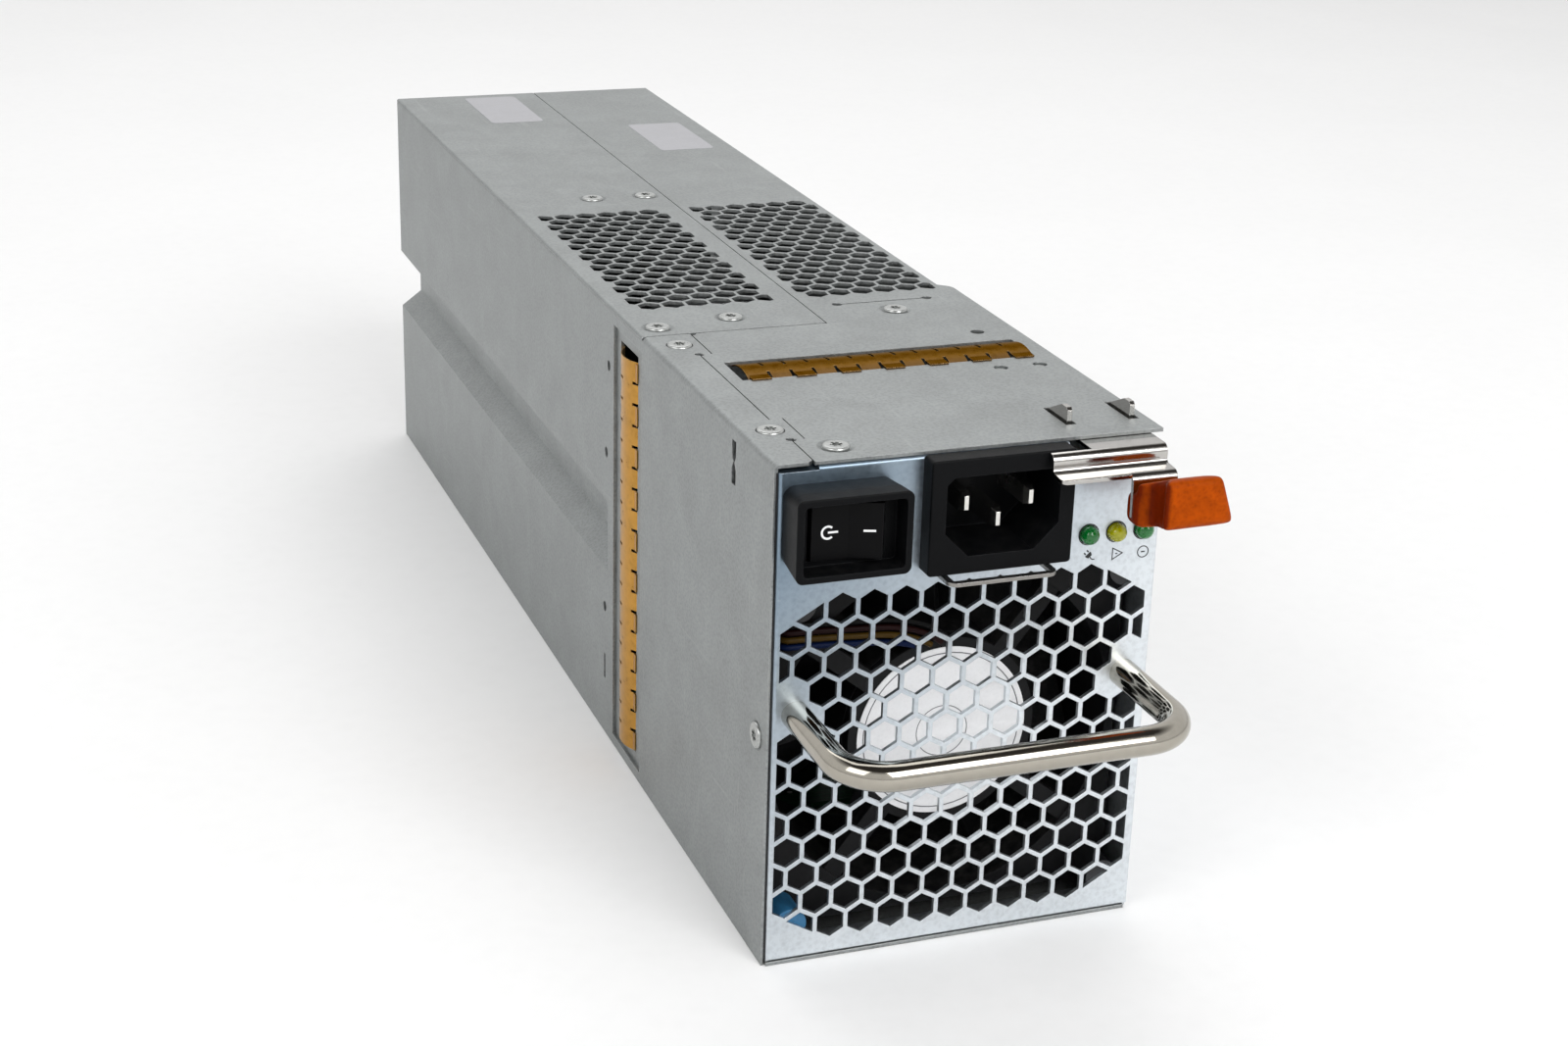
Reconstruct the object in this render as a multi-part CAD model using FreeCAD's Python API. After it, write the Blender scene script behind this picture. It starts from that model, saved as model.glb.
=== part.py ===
"""Hot swap server power supply: a sheet-metal case with a fan, inlet, switch, latch and power electronics.

Drawn in millimetres with +X to the right of the front plate, +Y towards the rear connector and +Z up.
While drawing, y = 0 is the outer face of the front plate. At export every piece moves forward by half
the case's depth, so the written origin is the middle of the underside.
"""

import FreeCAD, Part
import math
import os

Vector = FreeCAD.Vector

# ---- case ----
FAN = 80.0               # the fan's frame sets the case's width and most of its height
FAN_SIDE = 1.2           # fan to each side wall
FAN_BASE = 4.0           # underside to fan
CONTROL_BAND = 26.0      # front plate above the fan, for the inlet and switch
DEPTH = 349.0            # front plate to rear plate
SHEET = 0.8              # steel sheet of the walls and covers
PLATE = 1.0              # steel sheet of the front and rear plates
FIT = 0.1                # gap between two sheets that lie side by side
BEND = 1.2               # outer radius of a folded edge
PLATE_BEND = 0.7         # outer radius round the front plate
COVER_INSET = 0.6        # right cover's edge inside the case's right side
NOSE_DEPTH = 108.0       # the nose is wider than the rear on the right
REAR_STEP = 3.5          # how far the rear's right wall is set in
EDGE_SETBACK = 2.0       # rear end of the strip between the left wall and the front plate
EDGE_FRONT = 0.6         # left wall behind the front plate's face
EDGE_SKIN = 0.45         # left wall outside that strip
LIP = 8.0                # height of the tray's and plates' folded lips
TOP_LIP = 14.0           # front plate's top lip, under the cover

# ---- top covers ----
STRIP_WIDTH = 8.1        # folded top strip of the left wall
STRIP_LENGTH = 87.0      # front plate to the strip's rear end
TAB_REACH = 2.8          # how far the strip's screw tabs reach further
FRONT_TAB = (14.0, 26.5)
REAR_TAB = 15.0          # rear tab's length
SEAM = 0.3               # gap between neighbouring covers
STEP_SEAM = 0.7          # gap in front of the left cover
SPLIT_X = 1.5            # seam between the two long covers, right of the middle
COVER_LIP = 0.6          # top cover's front edge behind the front plate's face
CORNER_GAP = 0.7         # dark gap between the front plate and the top strip
RELIEF = 0.9             # radius of the round reliefs in the sheets' inner corners
VENT_SETBACK = 20.0      # left cover's front edge to the vents
VENT_LENGTH = 89.0
VENT_GAP = 2.2           # seam to the right vent
VENT_LEFT_GAP = 5.2      # seam to the left vent
VENT_EDGE = 4.7          # case's sides to the vents
DIMPLE_SETBACK = 10.5    # front dimples to vents
DIMPLE_BEHIND = 15.0     # vents to rear dimples
VENT_PITCH = 5.7
VENT_HOLE = 5.0          # across flats

# ---- front plate ----
GRILLE_PITCH = 6.8
GRILLE_HOLE = 5.85       # across flats
GRILLE_BOTTOM_Z = 8.1    # centre of the lowest row
GRILLE_TOP_GAP = 1.0     # retainer loop to top row
GRILLE_EDGE = 2.0        # case's side to grille
GRILLE_CORNER = 1        # holes lost at each end of the end rows
HANDLE_CLEAR = 7.0       # no hole centre lies closer to a handle leg

# ---- handle ----
HANDLE_EDGE = 5.7        # case's side to each leg's middle
HANDLE_DROP = 53.2       # top cover to the bar's middle
HANDLE_REACH = 31.0      # plate to the bar's centre
HANDLE_ROD = 6.0
HANDLE_BEND = 10.0
HANDLE_SCREW = 3.2

# ---- guide channel in the left wall ----
CHANNEL_SETBACK = 4.4    # recessed pocket to the channel's front end
CHANNEL_Z = 52.5
CHANNEL_MOUTH = 18.0
CHANNEL_FLOOR = 9.0
CHANNEL_DEPTH = 6.0

# ---- finger gaskets ----
FINGER_PITCH = 5.08
FINGER_SLIT = 0.7
FINGER_SHEET = 0.3
FINGER_RISE = 0.9        # crown above the sheet around it
TOP_TAB_REACH = 1.2      # how far the top tabs reach past the short fingers
SIDE_TAB_REACH = 0.5
TAB_LIFT = 0.05          # tabs to the sheet under them
TAB_SUNK = 0.2           # short fingers' front edge below the sheet
FINGER_DEPTH = 13.5      # front to rear of each strip of fingers
TOP_FINGER_Y = 51.2
TOP_FINGER_LEFT = 12.9   # case's left side to the first finger
TOP_FINGER_RIGHT = 3.9
POCKET_DEPTH = 22.3      # recessed pocket in the left wall, front to rear
POCKET_BOTTOM = 2.6
POCKET_TOP = 3.6         # top cover to pocket
POCKET_FRONT = 5.2       # pocket's front edge to the fingers
SIDE_FINGER_END = 3.0    # pocket's end to the first and last fingers
SLOT_ROOM = 0.3          # slot edge to gasket

# ---- screws ----
HEAD = 5.6
HEAD_HEIGHT = 0.9
SHANK = 3.0
SCREW_LENGTH = 4.0
DIMPLE_DEPTH = 0.5
DIMPLE_BOSS = 0.5        # extra radius of the pressed cup under a dimple

# ---- rocker switch ----
SWITCH_EDGE = 1.2        # case's left side to the guard
SWITCH_DROP = 12.5       # top cover to the switch's middle
BEZEL_W = 24.0
BEZEL_H = 17.2
BEZEL_REACH = 9.9
BEZEL_WALL = 1.4
BEZEL_FLOOR = 4.5        # rocker well's floor, in front of the plate
ROCKER_W = 15.6
ROCKER_H = 11.5
ROCKER_PIVOT = 3.4       # in front of the plate
ROCKER_TILT = 18.0       # degrees between the two positions
ROCKER_ROOM = 0.25
ROCKER_PIN = 1.0

# ---- mains inlet ----
INLET_X = 4.5            # right of the case's middle
INLET_DROP = 12.8        # top cover to the inlet's middle
INLET_W = 31.2
INLET_H = 24.2
INLET_REACH = 4.4
INLET_BODY_W = 27.0
INLET_BODY_H = 19.2
INLET_BODY_DEPTH = 20.0
SOCKET_W = 24.6
SOCKET_H = 16.8
SOCKET_DEPTH = 16.0
SOCKET_CORNER = 5.2
PIN_SPREAD = 7.0
PIN_OFFSET = 2.0
PIN_TALL = 4.0
PIN_THICK = 2.0
PIN_TIP = 2.2            # pins stop this far inside the inlet's face
PIN_TAPER = 0.55         # each side of a pin's tip
LOOP_W = 23.8
LOOP_REACH = 7.2
LOOP_GAP = 0.7           # inlet to loop
LOOP_BAND = 1.4

# ---- indicator lights ----
LIGHT_EDGE = 3.6         # case's right side to the last light
LIGHT_PITCH = 6.2
LIGHT_DROP = 21.3        # top cover to the lights
LIGHT_D = 3.9
LIGHT_REACH = 0.6
LIGHT_BOARD_Y = 10.0

# ---- latch ----
LEAF = 0.8
LEAF_EDGE = 3.2          # case's right side to the leaf
LEAF_WIDTH = 16.1
LEAF_REAR_Y = 44.0
LEAF_NOSE = 6.2          # front plate to the leaf's nose
LEDGE_OVERLAP = 6.3      # how far the ledge covers the inlet
LEDGE_ROOM = 0.5         # inlet's face to the ledge's arm
LEDGE_DROP = 3.5
LEDGE_REACH = 4.9
TAB_WIDTH = 9.9
GRIP_REACH = 13.4        # leaf's ledge to the grip's front
GRIP_FLARE = 6.0         # grip's front beyond its neck, at the right
GRIP_DISH = 15.0         # hollow in the grip's left end
TAB_DROP = 9.0
LEAF_BEND = 1.3
HOOK_FRONT_Y = 8.5
HOOK_LENGTH = 9.7
HOOK_RISE = 3.2          # above the top cover
HOOK_SHEET = 1.1
HOOK_ROOM = 0.6
LATCH_TRAVEL = 6.0       # degrees
WINDOW_DROP = 7.0        # front plate opening under the leaf
WINDOW_GAP = 2.4         # and beside it
RIVET_EDGE = 3.4         # leaf's side to each rivet
RIVET_SETBACK = 2.2      # leaf's rear end to the rivets
MOUNT_DEPTH = 6.0

# ---- fan ----
FAN_DEPTH = 38.0
FAN_FRONT = 9.0
FAN_WALL = 1.8           # frame's side to bore
FAN_FLANGE = 4.0
FAN_HOLE_EDGE = 4.25     # mounting hole to frame's side
FAN_HUB = 42.0
FAN_BLADES = 7
FAN_TIP_ROOM = 0.6
SHAFT = 4.0
SHAFT_ROOM = 0.05
LABEL_D = 38.0

# ---- power electronics ----
BOARD = 1.6
BOARD_Z = 6.0
BOARD_FRONT_Y = 52.0
BOARD_REAR_GAP = 6.0
BOARD_SIDE = 2.6         # board edge to wall
STANDOFF = 5.0
OUTPUT_ZONE = 70.0       # board's rear edge to the rectifier's heatsink
CONNECTOR_W = 62.0
CONNECTOR_H = 13.0
CONNECTOR_REACH = 7.0
CONNECTOR_DEPTH = 18.0
WIRE = 2.2
FAN_WIRE = 1.4
LEAD_PITCH = 1.6         # between the fan's leads
LEAD_HEIGHT = 23.9       # fan's middle to the lowest lead
LEAD_NOTCH = 5.0         # notch in the fan's flanges that the leads lie in

WIDTH = FAN + 2 * (FAN_SIDE + SHEET + FIT)
HEIGHT = FAN_BASE + FAN + CONTROL_BAND

left = -WIDTH / 2
right = WIDTH / 2
rear_right = right - REAR_STEP
cover_under = HEIGHT - SHEET
wall_top = cover_under - FIT
inner_left = left + SHEET + FIT
inner_right = right - SHEET - FIT
plate_bottom = SHEET + FIT
board_top = BOARD_Z + BOARD
strip_right = left + STRIP_WIDTH
tab_right = strip_right + TAB_REACH
leaf_z = cover_under - FIT - LEAF / 2
leaf_right = right - LEAF_EDGE
leaf_left = leaf_right - LEAF_WIDTH
tab_left = leaf_right - TAB_WIDTH
ledge_left = INLET_X + INLET_W / 2 - LEDGE_OVERLAP
rivet_y = LEAF_REAR_Y + RIVET_SETBACK
fan_z = FAN_BASE + FAN / 2
fan_bore = FAN - 2 * FAN_WALL
fan_rear = FAN_FRONT + FAN_DEPTH
switch_x = left + SWITCH_EDGE + BEZEL_W / 2
switch_z = HEIGHT - SWITCH_DROP
inlet_z = HEIGHT - INLET_DROP
loop_z = inlet_z - INLET_H / 2 - LOOP_GAP - SHEET
handle_leg = WIDTH / 2 - HANDLE_EDGE
handle_z = HEIGHT - HANDLE_DROP
light_x = [right - LIGHT_EDGE - k * LIGHT_PITCH for k in (2, 1, 0)]
light_z = HEIGHT - LIGHT_DROP
strip_tab = STRIP_LENGTH - REAR_TAB
cover_front = STRIP_LENGTH + STEP_SEAM
vent_start = cover_front + VENT_SETBACK
vent_end = vent_start + VENT_LENGTH
pocket_front = STRIP_LENGTH + SEAM
pocket_rear = pocket_front + POCKET_DEPTH
pocket_top = HEIGHT - POCKET_TOP
channel_front = pocket_rear + CHANNEL_SETBACK
side_finger_y = pocket_front + POCKET_FRONT
side_finger_z = POCKET_BOTTOM + SIDE_FINGER_END
side_fingers = int((pocket_top - SIDE_FINGER_END - side_finger_z) / FINGER_PITCH)
top_finger_x = left + TOP_FINGER_LEFT
top_fingers = int((right - TOP_FINGER_RIGHT - top_finger_x) / FINGER_PITCH)


# ---- drawing helpers ----

def box(x0, x1, y0, y1, z0, z1):
    return Part.makeBox(x1 - x0, y1 - y0, z1 - z0, Vector(x0, y0, z0))


def rod(radius, start, end):
    start = Vector(*start)
    along = Vector(*end) - start
    return Part.makeCylinder(radius, along.Length, start, along)


def cone(r_start, r_end, start, end):
    start = Vector(*start)
    along = Vector(*end) - start
    return Part.makeCone(r_start, r_end, along.Length, start, along)


def at(plane, u, v, w=0.0):
    """A point from two in-plane values and the height above the plane."""
    return {"xy": Vector(u, v, w), "xz": Vector(u, w, v), "yz": Vector(w, u, v)}[plane]


def outline(plane, points, level=0.0):
    corners = [at(plane, u, v, level) for u, v in points]
    return Part.makePolygon(corners + corners[:1])


def slab(plane, points, low, high, holes=()):
    """A flat plate between two levels of a plane, with any through holes."""
    wires = [outline(plane, loop, low) for loop in (points, *holes)]
    face = Part.makeFace(Part.Compound(wires), "Part::FaceMakerBullseye")
    return face.extrude(at(plane, 0, 0, high - low))


def rectangle(u0, u1, v0, v1):
    return [(u0, v0), (u1, v0), (u1, v1), (u0, v1)]


def rounded(u0, u1, v0, v1, radius, plane, level):
    """A wire of a rectangle with round corners."""
    centres = [(u1 - radius, v0 + radius, -90), (u1 - radius, v1 - radius, 0),
               (u0 + radius, v1 - radius, 90), (u0 + radius, v0 + radius, 180)]
    edges = []
    last = None
    for cu, cv, start in centres:
        arc = [at(plane, cu + radius * math.cos(math.radians(start + turn)),
                  cv + radius * math.sin(math.radians(start + turn)), level) for turn in (0, 45, 90)]
        if last is not None:
            edges.append(Part.LineSegment(last, arc[0]).toShape())
        else:
            first = arc[0]
        edges.append(Part.Arc(*arc).toShape())
        last = arc[2]
    edges.append(Part.LineSegment(last, first).toShape())
    return Part.Wire(edges)


def rounded_block(u0, u1, v0, v1, radius, plane, low, high):
    face = Part.Face(rounded(u0, u1, v0, v1, radius, plane, low))
    return face.extrude(at(plane, 0, 0, high - low))


def fuse(shapes):
    shapes = list(shapes)
    return shapes[0].multiFuse(shapes[1:]).removeSplitter() if len(shapes) > 1 else shapes[0]


def soften(shape, radius, chosen):
    """Rounds the edges whose middle point satisfies the test."""
    edges = [e for e in shape.Edges if chosen(e.CenterOfMass, e)]
    return shape.makeFillet(radius, edges)


def near(value, target):
    return abs(value - target) < 1e-4


def hexagon(u, v, flats):
    reach = flats / math.sqrt(3)
    angles = [math.radians(60 * k + 30) for k in range(6)]
    return [(u + reach * math.cos(angle), v + reach * math.sin(angle)) for angle in angles]


def clipped(points, u, v, normal_u, normal_v):
    """The part of a convex outline behind the line through (u, v) with that outward normal."""
    kept = []
    for (au, av), (bu, bv) in zip(points, points[1:] + points[:1]):
        a = (au - u) * normal_u + (av - v) * normal_v
        b = (bu - u) * normal_u + (bv - v) * normal_v
        if a <= 0:
            kept.append((au, av))
        if a * b < 0:
            share = a / (a - b)
            kept.append((au + share * (bu - au), av + share * (bv - av)))
    return kept


def area(points):
    return abs(sum(a[0] * b[1] - b[0] * a[1] for a, b in zip(points, points[1:] + points[:1]))) / 2


def offset_corner(before, corner, after, side):
    """Where the two runs' parallel lines at that distance meet."""
    d1 = Vector(corner[0] - before[0], corner[1] - before[1], 0).normalize()
    d2 = Vector(after[0] - corner[0], after[1] - corner[1], 0).normalize()
    n1 = Vector(-d1.y, d1.x, 0)
    n2 = Vector(-d2.y, d2.x, 0)
    mid = (n1 + n2).normalize()
    scale = side / mid.dot(n1)
    return corner[0] + mid.x * scale, corner[1] + mid.y * scale


def bent_strip(plane, points, thickness, low, high, radius):
    """A strip of sheet folded along a centre line, its bends rounded on both faces."""
    sides = []
    for side in (thickness / 2, -thickness / 2):
        run = []
        for k, point in enumerate(points):
            before = points[k - 1] if k else None
            after = points[k + 1] if k + 1 < len(points) else None
            if before is None:
                step = Vector(after[0] - point[0], after[1] - point[1], 0).normalize()
                run.append((point[0] - step.y * side, point[1] + step.x * side))
            elif after is None:
                step = Vector(point[0] - before[0], point[1] - before[1], 0).normalize()
                run.append((point[0] - step.y * side, point[1] + step.x * side))
            else:
                run.append(offset_corner(before, point, after, side))
        sides.append(run)
    loop = sides[0] + sides[1][::-1]
    shape = slab(plane, loop, low, high)
    for k in range(1, len(points) - 1):
        before, corner, after = points[k - 1], points[k], points[k + 1]
        turn = (corner[0] - before[0]) * (after[1] - corner[1])
        turn -= (corner[1] - before[1]) * (after[0] - corner[0])
        outer, inner = (sides[1][k], sides[0][k]) if turn > 0 else (sides[0][k], sides[1][k])
        for (u, v), r in ((outer, radius + thickness / 2), (inner, radius - thickness / 2)):
            target = at(plane, u, v, (low + high) / 2)
            shape = soften(shape, r, lambda c, e: (c - target).Length < 1e-3)
    return shape


def rounded_path(points):
    """Straight runs joined by tangent arcs, as large as the runs allow."""
    points = [Vector(*p) for p in points]
    edges = []
    start = points[0]
    for before, corner, after in zip(points, points[1:], points[2:]):
        d_in = (corner - before).normalize()
        d_out = (after - corner).normalize()
        half = d_in.getAngle(d_out) / 2
        reach = 0.45 * min((corner - before).Length, (after - corner).Length)
        radius = reach / math.tan(half)
        a = corner - d_in * reach
        b = corner + d_out * reach
        towards = (d_out - d_in).normalize()
        middle = corner + towards * (radius / math.cos(half) - radius)
        edges += [Part.LineSegment(start, a).toShape(), Part.Arc(a, middle, b).toShape()]
        start = b
    edges.append(Part.LineSegment(start, points[-1]).toShape())
    return Part.Wire(edges)


def tube(points, radius):
    path = rounded_path(points)
    first = Vector(*points[0])
    ring = Part.Wire(Part.makeCircle(radius, first, Vector(*points[1]) - first))
    return path.makePipeShell([ring], True, False)


def screw(x, y, z, length=SCREW_LENGTH, head=HEAD, height=HEAD_HEIGHT, shank=SHANK):
    """A low round-headed screw with a six-point recess. Its head's underside is at z."""
    cap = Part.makeCylinder(head / 2, height, Vector(0, 0, 0))
    cap = soften(cap, height * 0.6, lambda c, e: c.z > height * 0.99)
    start = Vector(-head * 0.23, -head * 0.065, height * 0.35)
    recess = [Part.makeBox(head * 0.46, head * 0.13, height, start) for _ in range(3)]
    for k, bar in enumerate(recess):
        bar.rotate(Vector(0, 0, 0), Vector(0, 0, 1), 60 * k)
    stem = Part.makeCylinder(shank / 2, length, Vector(0, 0, -length))
    whole = cap.cut(Part.Compound(recess)).fuse(stem)
    whole.translate(Vector(x, y, z))
    return whole


def turned(shape, axis, degrees, centre):
    copy = shape.copy()
    copy.rotate(Vector(*centre), Vector(*axis), degrees)
    return copy


# ---- case ----

def screw_seats():
    """Cover screws as x, y and the radius of the dimple around each head."""
    strip_mid = left + STRIP_WIDTH * 0.76
    front, rear = vent_start - DIMPLE_SETBACK, vent_end + DIMPLE_BEHIND
    corner = left + STRIP_WIDTH * 0.68
    between = (left + SPLIT_X) / 2 + 2.2
    return {
        "strip": [(strip_mid, sum(FRONT_TAB) / 2, 3.0), (strip_mid, STRIP_LENGTH - REAR_TAB / 2, 3.0)],
        "right": [(strip_right + 7.4, LIP, 3.9), (right / 2, front - 3.5, 3.9)],
        "left": [(corner, front - 3.6, 3.7), (between, front, 3.7), (between, rear, 3.7),
                 (SPLIT_X - 4.9, rear, 3.7)],
    }


def with_dimples(cover, seats):
    seat_z = HEIGHT - DIMPLE_DEPTH
    for x, y, ring in seats:
        cover = cover.fuse(rod(ring + DIMPLE_BOSS, (x, y, seat_z - SHEET), (x, y, cover_under)))
        cover = cover.cut(cone(HEAD / 2 + FIT, ring, (x, y, seat_z), (x, y, HEIGHT)))
        cover = cover.cut(rod(SHANK / 2 + FIT, (x, y, seat_z - SHEET), (x, y, HEIGHT)))
    return cover


def cover_screws():
    seats = [s for group in screw_seats().values() for s in group]
    return Part.Compound([screw(x, y, HEIGHT - DIMPLE_DEPTH) for x, y, _ in seats])


def base_tray():
    nose = box(inner_left, inner_right, 0, NOSE_DEPTH, 0, SHEET)
    rear = box(inner_left, rear_right, NOSE_DEPTH, DEPTH, 0, wall_top)
    rear = soften(rear, BEND, lambda c, e: near(c.x, rear_right) and near(c.z, 0))
    rear = rear.cut(box(inner_left - 1, rear_right - SHEET, NOSE_DEPTH - 1, DEPTH + 1, SHEET, HEIGHT))
    lips = [box(inner_left, inner_left + SHEET, fan_rear + 2, pocket_front - 4, 0, LIP),
            box(inner_left, inner_left + SHEET, channel_front, DEPTH - LIP - 4, 0, LIP),
            box(inner_right - SHEET, inner_right, fan_rear + 2, NOSE_DEPTH - 4, 0, LIP)]
    tray = fuse([nose, rear, *lips])
    for y, z in right_screw_places():
        tray = tray.cut(rod(SHANK / 2 + FIT, (inner_right - 2, y, z), (right, y, z)))
    for y, z in rear_screw_places():
        tray = tray.cut(rod(SHANK / 2 + FIT, (rear_right - 2, y, z), (right, y, z)))
    return tray


def channel_section():
    """The guide channel's folded sheet in the xz plane, as an outline."""
    half, floor, deep = CHANNEL_MOUTH / 2, CHANNEL_FLOOR / 2, left + CHANNEL_DEPTH
    spread = SHEET * 0.55
    outside = [(left, CHANNEL_Z - half), (deep, CHANNEL_Z - floor), (deep, CHANNEL_Z + floor),
               (left, CHANNEL_Z + half)]
    inside = [(left + SHEET, CHANNEL_Z + half + spread), (deep + SHEET, CHANNEL_Z + floor + spread),
              (deep + SHEET, CHANNEL_Z - floor - spread), (left + SHEET, CHANNEL_Z - half - spread)]
    return outside, inside


def strip_outline():
    front = COVER_LIP
    return [(left, front), (strip_right - 1, front), (strip_right, front + 1), (strip_right, FRONT_TAB[0]),
            (tab_right, FRONT_TAB[0]), (tab_right, FRONT_TAB[1]), (strip_right, FRONT_TAB[1]),
            (strip_right, strip_tab), (tab_right, strip_tab), (tab_right, STRIP_LENGTH),
            (left, STRIP_LENGTH)]


def bow_tie(y, z, height, wide, waist):
    return [(y - wide / 2, z - height / 2), (y + wide / 2, z - height / 2),
            (y + wide / 2, z - height * 0.16), (y + waist / 2, z), (y + wide / 2, z + height * 0.16),
            (y + wide / 2, z + height / 2),
            (y - wide / 2, z + height / 2), (y - wide / 2, z + height * 0.16), (y - waist / 2, z),
            (y - wide / 2, z - height * 0.16)]


def left_side_panel():
    step_y = STRIP_LENGTH
    edge = [(EDGE_FRONT, 0), (DEPTH, 0), (DEPTH, wall_top), (step_y, wall_top), (step_y, HEIGHT),
            (EDGE_FRONT, HEIGHT)]
    pocket = rectangle(pocket_front, pocket_rear, POCKET_BOTTOM, pocket_top)
    holes = [pocket, bow_tie(24.2, HEIGHT - 7.6, 9.4, 2.6, 0.8)]
    wall = slab("yz", edge, left, left + SHEET, holes)
    wall = wall.fuse(slab("xy", strip_outline(), cover_under, HEIGHT))
    wall = soften(wall.removeSplitter(), BEND,
                  lambda c, e: near(c.x, left) and near(c.z, HEIGHT) and e.Length > step_y / 2)
    wall = wall.cut(box(left + EDGE_SKIN, inner_left, 0, EDGE_SETBACK, 0, wall_top - CORNER_GAP))
    half = CHANNEL_MOUTH / 2
    wall = wall.cut(box(left, left + SHEET, channel_front, DEPTH, CHANNEL_Z - half, CHANNEL_Z + half))
    outside, inside = channel_section()
    channel = slab("xz", outside + inside, channel_front, DEPTH)
    end_wall = slab("xz", outside[:1] + inside[::-1] + outside[-1:], channel_front - SHEET, channel_front)
    wall = fuse([wall, channel, end_wall])
    for y, z in ((4.0, HEIGHT - 14.7), (5.9, HEIGHT - 36.6), (6.9, 33.5)):
        y += pocket_rear
        wall = wall.cut(rod(1.3, (left - 1, y, z), (left + 2 * SHEET, y, z)))
    wall = wall.cut(box(left - 1, left + 2 * SHEET, pocket_rear + 6.3, pocket_rear + 7.6, 14.5, 21.0))
    for x, y in ((strip_right, FRONT_TAB[0]), (strip_right, strip_tab)):
        wall = wall.cut(rod(RELIEF, (x, y, cover_under - 1), (x, y, HEIGHT + 1)))
    for x, y, ring in screw_seats()["strip"]:
        wall = with_dimples(wall, [(x, y, ring)])
    for y, z in left_screw_places():
        wall = wall.cut(rod(SHANK / 2 + FIT, (left - 1, y, z), (left + 2, y, z)))
        wall = wall.cut(cone(HEAD / 2 + 0.5, HEAD / 2 + FIT, (left, y, z), (left + SHEET * 0.4, y, z)))
    return wall


def left_screw_places():
    return [(LIP * 0.85, handle_z - 6.8)]


def right_screw_places():
    return [(fan_rear + 10, LIP * 0.6), (NOSE_DEPTH - 12, LIP * 0.6)]


def rear_screw_places():
    return [(DEPTH - LIP * 0.6, z) for z in (24.0, HEIGHT - 22)]


def side_screws():
    """Screws through the side walls into the folded lips of the end plates."""
    seated = []
    for y, z in left_screw_places():
        s = turned(screw(0, 0, 0), (0, 1, 0), -90, (0, 0, 0))
        s.translate(Vector(left + SHEET * 0.4, y, z))
        seated.append(s)
    for x, places in ((right, right_screw_places()), (rear_right, rear_screw_places())):
        for y, z in places:
            s = turned(screw(0, 0, 0), (0, 1, 0), 90, (0, 0, 0))
            s.translate(Vector(x, y, z))
            seated.append(s)
    return Part.Compound(seated)


def nose_wall():
    """The front plate's right wall: it runs back to the step and folds in to meet the narrower rear."""
    wall = box(right - SHEET, right, BEND, NOSE_DEPTH, 0, wall_top)
    back = box(rear_right + FIT, right, NOSE_DEPTH - SHEET, NOSE_DEPTH, 0, wall_top)
    back = back.cut(box(rear_right, inner_right, NOSE_DEPTH - SHEET, NOSE_DEPTH, 0, SHEET + FIT))
    wall = soften(fuse([wall, back]), BEND,
                  lambda c, e: near(c.x, right) and near(c.y, NOSE_DEPTH) and e.Length > LIP)
    for y, z in right_screw_places():
        wall = wall.cut(rod(SHANK / 2 + FIT, (right - 2, y, z), (right + 1, y, z)))
    return wall


def hex_field(u0, u1, v0, v1, pitch, flats):
    """Rows of six-sided holes, cut off straight at the sides of the field."""
    row_step = pitch * math.sqrt(3) / 2
    rows = int((v1 - v0 - flats) / row_step) + 1
    columns = int((u1 - u0) / pitch) + 1
    middle = (u0 + u1) / 2
    start = (v0 + v1 - (rows - 1) * row_step) / 2
    holes = []
    for row in range(rows):
        shift = 0.5 * (row % 2)
        for k in range(-columns, columns + 1):
            hole = hexagon(middle + (k + shift - 0.25) * pitch, start + row * row_step, flats)
            hole = clipped(hole, u1, 0, 1, 0)
            hole = clipped(hole, u0, 0, -1, 0) if len(hole) > 2 else hole
            if len(hole) > 2 and area(hole) > flats * flats * 0.12:
                holes.append(hole)
    return holes


def finger_slot():
    length = top_fingers * FINGER_PITCH
    return rectangle(top_finger_x - SLOT_ROOM - 1.2, top_finger_x + length + SLOT_ROOM,
                     TOP_FINGER_Y + TOP_TAB_REACH - SLOT_ROOM, TOP_FINGER_Y + FINGER_DEPTH + SLOT_ROOM)


def hook_slots():
    front, rear = HOOK_FRONT_Y - 1.1, HOOK_FRONT_Y + HOOK_LENGTH + HOOK_ROOM
    return [rectangle(x - HOOK_ROOM, x + HOOK_SHEET + HOOK_ROOM, front, rear) for x in hook_places()]


def hook_places():
    return leaf_left + 0.9, leaf_right - HOOK_SHEET


def rivet_places():
    return leaf_left + RIVET_EDGE, leaf_right - RIVET_EDGE


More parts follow.
